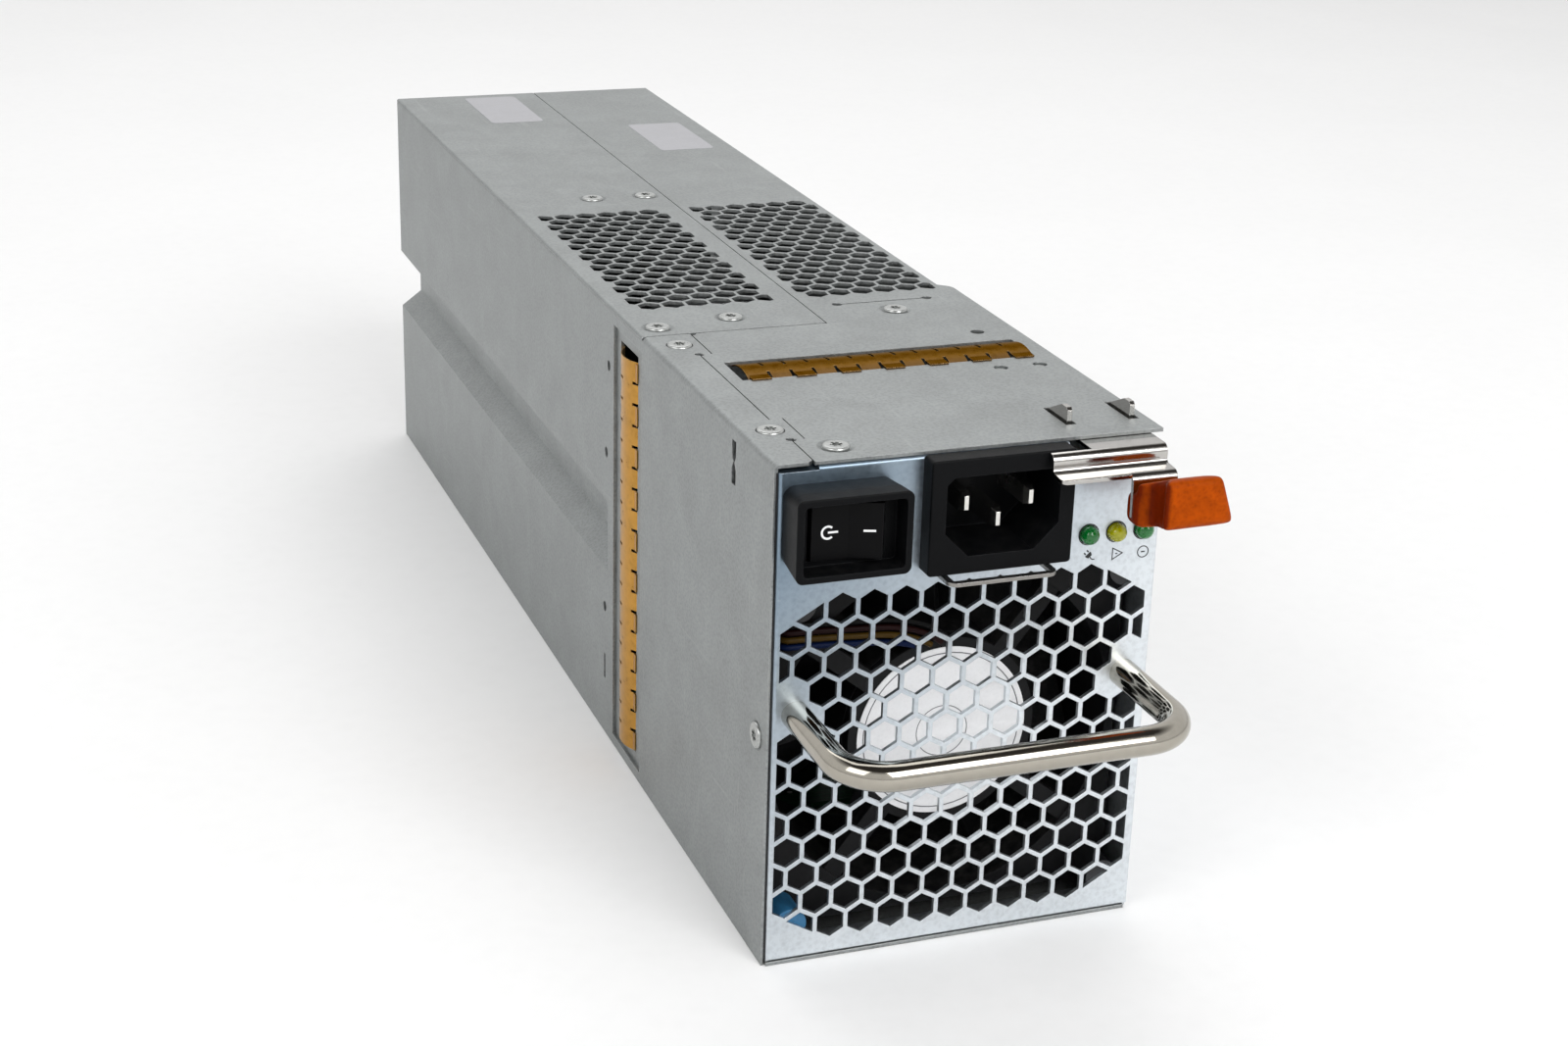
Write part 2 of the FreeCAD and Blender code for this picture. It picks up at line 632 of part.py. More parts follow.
def top_cover_right():
    gap, tab = SEAM, tab_right + SEAM
    edge_x = strip_right + gap
    split = SPLIT_X + gap / 2
    side = right - COVER_INSET
    edge = [(edge_x, COVER_LIP), (side, COVER_LIP), (side, NOSE_DEPTH), (rear_right, NOSE_DEPTH + 2.5),
            (rear_right, DEPTH), (split, DEPTH), (split, STRIP_LENGTH), (tab, STRIP_LENGTH),
            (tab, strip_tab - gap), (edge_x, strip_tab - gap), (edge_x, FRONT_TAB[1] + gap),
            (tab, FRONT_TAB[1] + gap), (tab, FRONT_TAB[0] - gap), (edge_x, FRONT_TAB[0] - gap)]
    vent = hex_field(SPLIT_X + VENT_GAP, right - VENT_EDGE, vent_start, vent_end, VENT_PITCH, VENT_HOLE)
    lance_y = vent_start - 7
    lance = rectangle(right - 32.5, right - 10.7, lance_y - 0.4, lance_y + 0.4)
    cover = slab("xy", edge, cover_under, HEIGHT, [*vent, finger_slot(), *hook_slots(), lance])
    cover = soften(cover, 3.0, lambda c, e: near(c.x, side) and near(c.y, NOSE_DEPTH))
    holes = [(right - 10, TOP_FINGER_Y + FINGER_DEPTH + 7.3, 1.6), (right - 32.9, lance_y, 1.2)]
    holes.append((right - 10.3, lance_y, 1.2))
    holes += [(x, rivet_y, 1.6) for x in rivet_places()]
    holes += [(edge_x, y - gap, RELIEF) for y in (FRONT_TAB[0], strip_tab)]
    holes.append((tab, STRIP_LENGTH, RELIEF + gap))
    for x, y, r in holes:
        cover = cover.cut(rod(r, (x, y, cover_under - 1), (x, y, HEIGHT + 1)))
    return with_dimples(cover, screw_seats()["right"])


def top_cover_left():
    edge = rectangle(left, SPLIT_X - SEAM / 2, cover_front, DEPTH)
    vent = hex_field(left + VENT_EDGE, SPLIT_X - VENT_LEFT_GAP, vent_start, vent_end, VENT_PITCH, VENT_HOLE)
    cover = slab("xy", edge, cover_under, HEIGHT, vent)
    long_edge = (DEPTH - cover_front) / 2
    cover = soften(cover, SHEET * 0.7,
                   lambda c, e: near(c.x, left) and near(c.z, HEIGHT) and e.Length > long_edge)
    return with_dimples(cover, screw_seats()["left"])


def grille_holes():
    """The front plate's six-sided holes, cut off at the sides and across the corners."""
    row_step = GRILLE_PITCH * math.sqrt(3) / 2
    half = WIDTH / 2 - GRILLE_EDGE
    top = loop_z - GRILLE_TOP_GAP - GRILLE_HOLE / math.sqrt(3)
    rows = int((top - GRILLE_BOTTOM_Z) / row_step) + 1
    columns = int(half / GRILLE_PITCH) + 1
    corner_x = (columns - GRILLE_CORNER + 0.5 * ((rows - 1) % 2)) * GRILLE_PITCH
    corner_z = (rows - 1) / 2 * row_step
    middle_z = GRILLE_BOTTOM_Z + corner_z
    holes = []
    for row in range(rows):
        z = GRILLE_BOTTOM_Z + row * row_step
        for k in range(-columns, columns + 1):
            x = (k + 0.5 * (row % 2)) * GRILLE_PITCH
            if math.hypot(abs(x) - handle_leg, z - handle_z) < HANDLE_CLEAR:
                continue
            hole = hexagon(x, z, GRILLE_HOLE)
            for side in (1, -1):
                hole = clipped(hole, side * half, 0, side, 0) if len(hole) > 2 else hole
                for end in (1, -1):
                    if len(hole) > 2:
                        corner = (side * corner_x, middle_z + end * corner_z)
                        hole = clipped(hole, *corner, side * 0.5, end * 0.866)
            if len(hole) > 2 and area(hole) > 3.0:
                holes.append(hole)
    return holes


def window_low():
    return cover_under - WINDOW_DROP


def front_panel():
    """The front plate with its folded lips, grille and openings."""
    x0, x1 = inner_left, right
    top = wall_top
    body = box(x0, x1, 0, LIP, plate_bottom, top)
    body = soften(body, PLATE_BEND, lambda c, e: near(c.y, 0))
    body = body.cut(box(x0 + PLATE, x1 - SHEET, PLATE, LIP, plate_bottom + PLATE, top - PLATE))
    body = fuse([body, nose_wall()])
    shelf = box(strip_right + 1, leaf_left - WINDOW_GAP, PLATE, TOP_LIP, top - PLATE, top)
    body = fuse([body, shelf])
    cuts = [box(leaf_left - WINDOW_GAP, x1 + 1, -1, LIP + 1, window_low(), top + 1),
            box(x0 - 1, strip_right + 1, -1, LIP + 1, top - CORNER_GAP, top + 1)]
    for x, y, ring in screw_seats()["right"][:1]:
        cuts.append(rod(ring + DIMPLE_BOSS + FIT, (x, y, top - DIMPLE_DEPTH - FIT), (x, y, top + 1)))
        cuts.append(rod(SHANK / 2 + FIT, (x, y, top - 2 * PLATE), (x, y, top)))
    half_w, half_h = INLET_BODY_W / 2 + FIT, INLET_BODY_H / 2 + FIT
    cuts.append(box(INLET_X - half_w, INLET_X + half_w, -1, LIP, inlet_z - half_h, inlet_z + half_h))
    half_w, half_h = switch_body_size()
    cuts.append(box(switch_x - half_w, switch_x + half_w, -1, LIP, switch_z - half_h, switch_z + half_h))
    cuts += [rod(LIGHT_D / 2 + FIT, (x, -1, light_z), (x, LIP, light_z)) for x in light_x]
    for side in (1, -1):
        x = side * handle_leg
        cuts.append(rod(HANDLE_SCREW / 2 + FIT, (x, -1, handle_z), (x, LIP, handle_z)))
    for y, z in left_screw_places():
        cuts.append(rod(SHANK / 2 + FIT, (x0 - 1, y, z), (x0 + 2, y, z)))
    half = LOOP_W / 2
    for x in (INLET_X - half, INLET_X + half - LOOP_BAND):
        cuts.append(box(x - FIT, x + LOOP_BAND + FIT, -1, LIP, loop_z - FIT, loop_z + SHEET + FIT))
    cuts += [slab("xz", hole, -1, LIP) for hole in grille_holes()]
    return body.cut(Part.Compound(cuts))


def rear_panel():
    x0, x1 = inner_left, rear_right - SHEET - FIT
    y0, y1 = DEPTH - PLATE, DEPTH
    vents = hex_field(x0 + 10, x1 - 6, CONNECTOR_H + 16, HEIGHT - 10, VENT_PITCH, VENT_HOLE)
    notch_low = CHANNEL_Z - CHANNEL_MOUTH / 2 - 2
    notch_high = CHANNEL_Z + CHANNEL_MOUTH / 2 + 2
    notch_x = left + CHANNEL_DEPTH + SHEET + 0.3
    vents = [v for v in vents if min(p[0] for p in v) > notch_x + 1]
    edge = [(x0, plate_bottom), (x1, plate_bottom), (x1, wall_top), (x0, wall_top), (x0, notch_high),
            (notch_x, notch_high), (notch_x, notch_low), (x0, notch_low)]
    mouth = rectangle(-CONNECTOR_W / 2 - FIT, CONNECTOR_W / 2 + FIT, BOARD_Z, board_top + CONNECTOR_H + FIT)
    plate = slab("xz", edge, y0, y1, [*vents, mouth])
    side_lip = box(x1 - PLATE, x1, y0 - LIP, y0, plate_bottom + 4, wall_top)
    plate = fuse([plate, side_lip])
    for y, z in rear_screw_places():
        plate = plate.cut(rod(SHANK / 2 + FIT, (x1 - 2, y, z), (x1 + 1, y, z)))
    return plate


# ---- gaskets ----

def finger_strip(side, front, reach, count, base, skin, crown, start):
    """Sprung fingers: an arched sheet, slit at both edges, with a tab over the sheet on every other one."""
    rear = front + FINGER_DEPTH
    foot = front + reach
    mid = (foot + rear) / 2
    out = math.copysign(1.0, crown - base)
    sunk = skin - out * TAB_SUNK
    rise = TAB_SUNK + TAB_LIFT + FINGER_SHEET
    merge = foot + (mid - foot) * (1 - math.sqrt(1 - rise / abs(crown - sunk)))

    def point(u, w):
        return Vector(start, u, w) if side == "top" else Vector(w, u, start)

    def block(low, high, u0, u1, w0, w1):
        w0, w1 = sorted((w0, w1))
        return box(low, high, u0, u1, w0, w1) if side == "top" else box(w0, w1, u0, u1, low, high)

    outer = Part.Arc(point(foot, sunk), point(mid, crown), point(rear, base)).toShape()
    feet = [point(rear - FINGER_SHEET, base), point(foot + FINGER_SHEET, sunk)]
    inner = Part.Arc(feet[0], point(mid, crown - out * FINGER_SHEET), feet[1]).toShape()
    ends = [Part.LineSegment(point(rear, base), feet[0]).toShape(),
            Part.LineSegment(feet[1], point(foot, sunk)).toShape()]
    face = Part.Face(Part.Wire([outer, ends[0], inner, ends[1]]))
    length = count * FINGER_PITCH
    strip = face.extrude(Vector(length, 0, 0) if side == "top" else Vector(0, 0, length))
    under = skin + out * TAB_LIFT
    half = FINGER_SLIT / 2
    tabs = [block(start + k * FINGER_PITCH + half, start + (k + 1) * FINGER_PITCH - half,
                  front, merge + TAB_LIFT, under, under + out * FINGER_SHEET) for k in range(0, count, 2)]
    low_w, high_w = base - out, crown + out
    cuts = []
    for k in range(1, count):
        slit = start + k * FINGER_PITCH
        cuts.append(block(slit - half, slit + half, mid - 0.5, rear + 1, low_w, high_w))
        cuts.append(block(slit - half, slit + half, front - 1, merge + 0.8, low_w, high_w))
    return fuse([strip, *tabs]).cut(Part.Compound(cuts))


def top_gasket():
    return finger_strip("top", TOP_FINGER_Y, TOP_TAB_REACH, top_fingers, cover_under, HEIGHT,
                        HEIGHT + FINGER_RISE, top_finger_x)


def side_gasket():
    return finger_strip("side", side_finger_y, SIDE_TAB_REACH, side_fingers, left + 2 * SHEET, left + SHEET,
                        left - FINGER_RISE, side_finger_z)


def gasket_carrier():
    """The set-back strip behind the left wall's pocket, which carries the side fingers."""
    x0, x1 = left + SHEET, left + 2 * SHEET
    length = side_fingers * FINGER_PITCH
    slot = rectangle(side_finger_y + SIDE_TAB_REACH - SLOT_ROOM, side_finger_y + FINGER_DEPTH + SLOT_ROOM,
                     side_finger_z - SLOT_ROOM, side_finger_z + length + SLOT_ROOM + 1.2)
    edge = rectangle(pocket_front - 2.8, pocket_rear + 2.5, SHEET + FIT, wall_top - 0.4)
    return slab("yz", edge, x0, x1, [slot])


def edge_gasket():
    """A black conductive foam cord in the gap between the left wall and the front plate."""
    return box(left + EDGE_SKIN + 0.03, inner_left, EDGE_FRONT + 0.2, EDGE_SETBACK - 0.05, plate_bottom,
               wall_top - CORNER_GAP - 0.05)


# ---- handle, loop and latch ----

def handle():
    leg, reach, bend = handle_leg, HANDLE_REACH, HANDLE_BEND
    mid = bend * (1 - math.sqrt(0.5))
    pts = [Vector(-leg, 0, handle_z), Vector(-leg, -reach + bend, handle_z),
           Vector(-leg + mid, -reach + mid, handle_z), Vector(-leg + bend, -reach, handle_z)]
    mirror = [Vector(-p.x, p.y, p.z) for p in pts]
    path = Part.Wire([Part.LineSegment(pts[0], pts[1]).toShape(), Part.Arc(*pts[1:]).toShape(),
                      Part.LineSegment(pts[3], mirror[3]).toShape(), Part.Arc(*mirror[3:0:-1]).toShape(),
                      Part.LineSegment(mirror[1], mirror[0]).toShape()])
    ring = Part.Wire(Part.makeCircle(HANDLE_ROD / 2, pts[0], Vector(0, 1, 0)))
    bar = path.makePipeShell([ring], True, False)
    for side in (1, -1):
        x = side * leg
        bar = bar.cut(rod(HANDLE_SCREW / 2 + FIT / 2, (x, -10, handle_z), (x, 1, handle_z)))
    return bar


def handle_screws():
    screws = []
    for side in (1, -1):
        s = turned(screw(0, 0, 0, length=9, height=2.0, shank=HANDLE_SCREW), (1, 0, 0), -90, (0, 0, 0))
        s.translate(Vector(side * handle_leg, PLATE, handle_z))
        screws.append(s)
    return Part.Compound(screws)


def cord_retainer_loop():
    """A flat loop under the inlet that a plug's retaining strap passes through."""
    half = LOOP_W / 2
    x0, x1 = INLET_X - half, INLET_X + half
    plate = box(x0, x1, -LOOP_REACH, PLATE + 3, loop_z, loop_z + SHEET)
    plate = soften(plate, 2.2, lambda c, e: near(c.y, -LOOP_REACH) and near(c.z, loop_z + SHEET / 2))
    slot = box(x0 + LOOP_BAND, x1 - LOOP_BAND, -LOOP_REACH + LOOP_BAND, PLATE + 4,
               loop_z - 1, loop_z + 1 + SHEET)
    loop = plate.cut(slot)
    bridge = box(x0, x1, PLATE + 1.2, PLATE + 3, loop_z, loop_z + SHEET)
    return fuse([loop, bridge])


def leaf_points(with_tab):
    nose = -LEAF_NOSE
    ledge_y = nose - LEDGE_REACH
    low = leaf_z - LEDGE_DROP
    points = [(LEAF_REAR_Y, leaf_z), (nose, leaf_z), (nose, low), (ledge_y, low - 0.4)]
    if with_tab:
        points.append((ledge_y - 0.3, low - TAB_DROP))
    return points


def latch_leaf():
    """The spring leaf: its flat arm, the two hooks, the stepped ledge and the tab that the grip sits on."""
    arm = bent_strip("yz", leaf_points(True), LEAF, tab_left, leaf_right, LEAF_BEND)
    shelf = bent_strip("yz", leaf_points(False), LEAF, ledge_left, tab_left, LEAF_BEND)
    room = box(ledge_left - 1, leaf_left, -INLET_REACH - LEDGE_ROOM, LEAF_REAR_Y + 1, leaf_z - 1, leaf_z + 1)
    shelf = shelf.cut(room)
    shelf = soften(shelf, 1.5, lambda c, e: near(c.x, ledge_left) and c.y < -LEAF_NOSE - LEDGE_REACH * 0.6
                   and e.Length < LEAF * 1.2)
    top = HEIGHT + HOOK_RISE
    front, rear = HOOK_FRONT_Y, HOOK_FRONT_Y + HOOK_LENGTH
    side = [(rear, leaf_z), (rear, HEIGHT), (front + 2.8, top), (front + 0.6, top), (front, top - 0.6),
            (front, leaf_z)]
    hooks = [slab("yz", side, x, x + HOOK_SHEET) for x in hook_places()]
    return fuse([arm, shelf, *hooks])


def latch_grip():
    """The moulded thumb piece: a neck around the leaf's tab and a pad that flares and rises in front."""
    y = -LEAF_NOSE - LEDGE_REACH
    z = leaf_z - LEDGE_DROP
    x0, x1 = tab_left + 0.3, leaf_right + 1.6
    neck = rounded_block(x0, x1, z - 10.4, z - 3.2, 1.7, "xz", y - 3.2, y + 1.6)
    neck = soften(neck, 0.7, lambda c, e: near(c.y, y + 1.6))
    rear = [(x0 + 0.4, z - 10.2), (x1, z - 10.2), (x1, z - 1.4), (x0 + 0.4, z - 1.4)]
    swell = [(x0 + 0.2, z - 9.2), (x1 + 3.2, z - 9.2), (x1 + 1.2, z + 1.6), (x0 + 0.2, z + 1.6)]
    front = [(x0 + 1.0, z - 7.0), (x1 + GRIP_FLARE, z - 6.6), (x1 + GRIP_FLARE - 4.0, z + 3.4),
             (x0 + 1.0, z + 3.4)]
    steps = ((rear, 1.6), (swell, GRIP_REACH * 0.6), (front, GRIP_REACH))
    pad = Part.makeLoft([outline("xz", shape, y - reach) for shape, reach in steps], True, True)
    pad = soften(pad, 1.5, lambda c, e: c.y < y - GRIP_REACH + 0.5)
    dish_x, dish_y = x0 - GRIP_DISH + 1.2, y - GRIP_REACH / 2 - 0.8
    pad = pad.cut(rod(GRIP_DISH, (dish_x, dish_y, z - 12), (dish_x, dish_y, z + 6)))
    tab = bent_strip("yz", leaf_points(True), LEAF, tab_left, leaf_right, LEAF_BEND)
    return neck.fuse(pad).removeSplitter().cut(tab)


def latch_mount():
    """The block under the top cover that the leaf springs from."""
    block = box(leaf_left, leaf_right, LEAF_REAR_Y + 0.2, LEAF_REAR_Y + MOUNT_DEPTH,
                leaf_z - LEAF / 2 - 0.6, cover_under)
    for x in rivet_places():
        block = block.cut(rod(1.3, (x, rivet_y, 0), (x, rivet_y, HEIGHT)))
    return block


def latch_rivets():
    low = leaf_z - LEAF / 2 - 0.6
    rivets = []
    for x in rivet_places():
        stem = rod(1.25, (x, rivet_y, low - 0.6), (x, rivet_y, cover_under + 0.3))
        rivets.append(stem.fuse(rod(2.2, (x, rivet_y, low - 0.6), (x, rivet_y, low))))
    return Part.Compound(rivets)


# ---- switch ----

def switch_body_size():
    return ROCKER_W / 2 + 2.0, ROCKER_H / 2 + 1.6


def switch_bezel():
    """The deep black guard around the rocker, with the well's floor inside."""
    w, h = BEZEL_W / 2, BEZEL_H / 2
    rear = rounded(switch_x - w + 0.5, switch_x + w - 0.5, switch_z - h + 0.3, switch_z + h - 0.3,
                   2.6, "xz", 0)
    waist = rounded(switch_x - w + 0.2, switch_x + w - 0.2, switch_z - h, switch_z + h,
                    2.0, "xz", -BEZEL_REACH * 0.6)
    rim = rounded(switch_x - w, switch_x + w, switch_z - h, switch_z + h, 1.5, "xz", -BEZEL_REACH)
    block = Part.makeLoft([rear, waist, rim], True, True)
    block = soften(block, 0.35, lambda c, e: near(c.y, -BEZEL_REACH))
    well = rounded_block(switch_x - w + BEZEL_WALL, switch_x + w - BEZEL_WALL, switch_z - h + BEZEL_WALL,
                         switch_z + h - BEZEL_WALL, 1.0, "xz", -BEZEL_REACH - 1, -BEZEL_FLOOR)
    half_w, half_h = ROCKER_W / 2 + ROCKER_ROOM, ROCKER_H / 2 + ROCKER_ROOM
    throat = box(switch_x - half_w, switch_x + half_w, -BEZEL_FLOOR, 0, switch_z - half_h, switch_z + half_h)
    pin = rod(ROCKER_PIN + 0.02, (switch_x, -ROCKER_PIVOT, switch_z - half_h - 1.4),
              (switch_x, -ROCKER_PIVOT, switch_z + half_h + 1.4))
    return block.cut(Part.Compound([well, throat])).cut(pin)


def switch_body():
    half_w, half_h = switch_body_size()
    half_w, half_h = half_w - FIT, half_h - FIT
    body = box(switch_x - half_w, switch_x + half_w, 0, 15, switch_z - half_h, switch_z + half_h)
    room_w, room_h = ROCKER_W / 2 + ROCKER_ROOM, ROCKER_H / 2 + ROCKER_ROOM
    body = body.cut(box(switch_x - room_w, switch_x + room_w, -1, 6, switch_z - room_h, switch_z + room_h))
    legs = [box(switch_x + x - 2.4, switch_x + x + 2.4, 15, 21, switch_z - 0.4, switch_z + 0.4)
            for x in (-5, 5)]
    return fuse([body, *legs])


def rocker():
    """The rocker with its left half pressed flat. The two halves meet at a shallow valley over the pivot."""
    reach = ROCKER_W / 2
    y = -ROCKER_PIVOT
    rise = reach * math.tan(math.radians(ROCKER_TILT))
    face_y = y - 2.1
    side = [(-reach - 1, face_y), (0, face_y), (reach + 1, face_y - rise * (reach + 1) / reach),
            (reach + 1, y + 4.6), (-reach - 1, y + 4.6)]
    low, high = switch_z - ROCKER_H / 2, switch_z + ROCKER_H / 2
    block = slab("xy", [(switch_x + u, v) for u, v in side], low, high)
    drum = rod(reach, (switch_x, y, low), (switch_x, y, high))
    block = block.common(drum)
    bore = rod(ROCKER_PIN + 0.05, (switch_x, y, switch_z - ROCKER_H), (switch_x, y, switch_z + ROCKER_H))
    return block.cut(bore)


def rocker_pin():
    half = ROCKER_H / 2 + ROCKER_ROOM + 1.3
    y = -ROCKER_PIVOT
    return rod(ROCKER_PIN, (switch_x, y, switch_z - half), (switch_x, y, switch_z + half))


# ---- inlet and lights ----

def socket_outline(x, z, w, h, corner):
    u, v, small = w / 2, h / 2, corner * 0.3
    return [(x - u + corner, z - v), (x + u - corner, z - v), (x + u, z - v + corner),
            (x + u, z + v - small), (x + u - small, z + v), (x - u + small, z + v),
            (x - u, z + v - small), (x - u, z - v + corner)]


def inlet_housing():
    """The mains inlet: a flange that stands proud of the plate, a body behind it and the keyed socket."""
    w, h = INLET_W / 2, INLET_H / 2
    flange = rounded_block(INLET_X - w, INLET_X + w, inlet_z - h, inlet_z + h, 0.8, "xz", -INLET_REACH, 0)
    flange = soften(flange, 0.4, lambda c, e: near(c.y, -INLET_REACH))
    body = box(INLET_X - INLET_BODY_W / 2, INLET_X + INLET_BODY_W / 2, 0, INLET_BODY_DEPTH,
               inlet_z - INLET_BODY_H / 2, inlet_z + INLET_BODY_H / 2)
    socket = slab("xz", socket_outline(INLET_X, inlet_z, SOCKET_W, SOCKET_H, SOCKET_CORNER),
                  -INLET_REACH - 1, SOCKET_DEPTH - INLET_REACH)
    shape = flange.fuse(body).cut(socket)
    for x, z in pin_places():
        shape = shape.cut(pin_block(x, z, 0, INLET_BODY_DEPTH + 1))
    return shape


def pin_places():
    return [(INLET_X - PIN_SPREAD, inlet_z + PIN_OFFSET), (INLET_X + PIN_SPREAD, inlet_z + PIN_OFFSET),
            (INLET_X, inlet_z - PIN_OFFSET)]


def pin_block(x, z, y0, y1):
    return box(x - PIN_THICK / 2, x + PIN_THICK / 2, y0, y1, z - PIN_TALL / 2, z + PIN_TALL / 2)


def inlet_pins():
    """Flat pins with tapered tips."""
    pins = []
    front = PIN_TIP - INLET_REACH
    for x, z in pin_places():
        wires = []
        for y, trim in ((front, PIN_TAPER), (front + PIN_TAPER * 3, 0)):
            u, v = PIN_THICK / 2 - trim, PIN_TALL / 2 - trim
            wires.append(outline("xz", rectangle(x - u, x + u, z - v, z + v), y))
        tip = Part.makeLoft(wires, True, True)
        pins.append(fuse([tip, pin_block(x, z, front + PIN_TAPER * 3, INLET_BODY_DEPTH + 8)]))
    return Part.Compound(pins)


def light_pipe(x):
    bead = rod(LIGHT_D / 2, (x, -LIGHT_REACH, light_z), (x, LIGHT_BOARD_Y, light_z))
    dome = Part.makeSphere(LIGHT_D / 2, Vector(x, -LIGHT_REACH, light_z))
    collar = rod(LIGHT_D / 2 + 0.7, (x, PLATE, light_z), (x, PLATE + 0.8, light_z))
    return fuse([bead, dome, collar])


def light_board():
    return box(light_x[0] - 3, light_x[-1] + 2, LIGHT_BOARD_Y, LIGHT_BOARD_Y + 1.2, light_z - 4, light_z + 4)


# ---- fan ----

def fan_corners():
    half = FAN / 2 - FAN_HOLE_EDGE
    return [(sx * half, fan_z + sz * half) for sx in (-1, 1) for sz in (-1, 1)]


def fan_frame():
    """A square fan frame with open corners between its flanges, four struts and the motor base."""
    half, y0, y1 = FAN / 2, FAN_FRONT, fan_rear
    block = rounded_block(-half, half, fan_z - half, fan_z + half, 4.0, "xz", y0, y1)
    block = block.cut(rod(fan_bore / 2, (0, y0 - 1, fan_z), (0, y1 + 1, fan_z)))
    waist = box(-half - 1, half + 1, y0 + FAN_FLANGE, y1 - FAN_FLANGE, fan_z - half - 1, fan_z + half + 1)
    waist = waist.cut(rod(fan_bore / 2 + 1.5, (0, y0, fan_z), (0, y1, fan_z)))
    block = block.cut(waist)
    base = rod(FAN_HUB / 2, (0, y0 + 0.6, fan_z), (0, y0 + 3.6, fan_z))
    boss = rod(5.5, (0, y0 + 3.6, fan_z), (0, y0 + 24, fan_z))
    arms = []
    for k in range(4):
        arm = box(FAN_HUB / 2 - 1, fan_bore / 2 + 1, y0 + 0.6, y0 + 3.6, fan_z - 2.2, fan_z + 2.2)
        arms.append(turned(arm, (0, 1, 0), 90 * k + 38, (0, 0, fan_z)))
    frame = fuse([block, base, boss, *arms])
    cuts = [rod(2.15, (x, y0 - 1, z), (x, y1 + 1, z)) for x, z in fan_corners()]
    cuts.append(rod(SHAFT / 2 + SHAFT_ROOM, (0, y0 + 4.6, fan_z), (0, y0 + 25, fan_z)))
    notch_z = fan_z + LEAD_HEIGHT
    notch_top = notch_z + 4 * LEAD_PITCH + 0.6
    cuts.append(box(-half - 1, -half + LEAD_NOTCH, y0 - 1, y1 + 1, notch_z - 1, notch_top))
    return frame.cut(Part.Compound(cuts))


def fan_stator():
    """Laminated core and copper coils around the bearing boss."""
    y0 = FAN_FRONT + 4.4
    core = rod(15.0, (0, y0 + 4, fan_z), (0, y0 + 12, fan_z))
    coils = []
    for k in range(4):
        coil = box(7.5, 13.5, y0, y0 + 16, fan_z - 4, fan_z + 4)
        coils.append(turned(soften(coil, 1.5, lambda c, e: e.Length > 7), (0, 1, 0), 90 * k, (0, 0, fan_z)))
    return fuse([core, *coils]).cut(rod(5.5, (0, y0 - 1, fan_z), (0, y0 + 20, fan_z)))


def blade_section(radius, y_mid, chord, thick, pitch_angle):
    """A thin four-sided section across a blade at that radius, as a wire normal to +X."""
    slope = math.radians(pitch_angle)
    along = (math.cos(slope), math.sin(slope))
    across = (-along[1], along[0])
    loop = []
    for a, b in ((-0.5, -0.5), (0.5, -0.5), (0.5, 0.5), (-0.5, 0.5)):
        y = y_mid + chord * a * along[0] + thick * b * across[0]
        z = fan_z + chord * a * along[1] + thick * b * across[1]
        loop.append(Vector(radius, y, z))
    return Part.makePolygon(loop + loop[:1])


def fan_rotor():
    """The rotor cup with its blades. It is closed at the rear and open towards the motor."""
    y0, y1 = FAN_FRONT + 4.2, fan_rear - 2.5
    cup = rod(FAN_HUB / 2, (0, y0, fan_z), (0, y1, fan_z))
    cup = soften(cup, 2.0, lambda c, e: near(c.y, y1))
    cup = cup.cut(rod(FAN_HUB / 2 - 2, (0, y0 - 1, fan_z), (0, y1 - 3, fan_z)))
    tip = fan_bore / 2 - FAN_TIP_ROOM
    mid = (y0 + y1) / 2 + 2
    blades = []
    for k in range(FAN_BLADES):
        wires = [blade_section(FAN_HUB / 2 - 1.2, mid, 24, 2.2, 42),
                 blade_section(FAN_HUB / 2 + 7, mid, 24.5, 1.8, 48),
                 blade_section(tip - 1.4, mid, 25, 1.2, 56)]
        blade = Part.makeLoft(wires, True, True)
        blades.append(turned(blade, (0, 1, 0), 360.0 * k / FAN_BLADES, (0, 0, fan_z)))
    ring = rod(tip, (0, y0 - 3, fan_z), (0, y1 + 1, fan_z))
    blades = [b.common(ring) for b in blades]
    rotor = fuse([cup, *blades])
    return rotor.cut(rod(SHAFT / 2, (0, y0, fan_z), (0, y1 - 1.5, fan_z)))


def fan_shaft():
    return rod(SHAFT / 2, (0, FAN_FRONT + 5, fan_z), (0, fan_rear - 4, fan_z))


def fan_label():
    return rod(LABEL_D / 2, (0, FAN_FRONT + 0.4, fan_z), (0, FAN_FRONT + 0.6, fan_z))


def fan_mount_pins():
    """Soft blue pins that hang the fan from the back of the front plate."""
    pins = []
    for x, z in fan_corners():
        pad = rod(3.6, (x, PLATE, z), (x, FAN_FRONT, z))
        if z < fan_z:
            pad = pad.common(box(x - 4, x + 4, 0, FAN_FRONT, plate_bottom + PLATE, z + 4))
        stem = rod(2.0, (x, FAN_FRONT, z), (x, FAN_FRONT + FAN_FLANGE, z))
        barb = cone(3.0, 1.4, (x, FAN_FRONT + FAN_FLANGE, z), (x, FAN_FRONT + FAN_FLANGE + 5, z))
        pins.append(fuse([pad, stem, barb]))
    return Part.Compound(pins)


# ---- board and electronics ----

def board_span():
    return inner_left + SHEET + BOARD_SIDE, rear_right - SHEET - BOARD_SIDE


def board_rear():
    return DEPTH - PLATE - BOARD_REAR_GAP


def board_fixings():
    x0, x1 = board_span()
    ys = [BOARD_FRONT_Y + 8, (BOARD_FRONT_Y + board_rear()) / 2, board_rear() - 22]
    return [(x, y) for x in (x0 + 5, x1 - 5) for y in ys]


def main_board():
    x0, x1 = board_span()
    board = box(x0, x1, BOARD_FRONT_Y, board_rear(), BOARD_Z, board_top)
    for x, y in board_fixings():
        board = board.cut(rod(SHANK / 2 + FIT, (x, y, 0), (x, y, HEIGHT)))
    return board


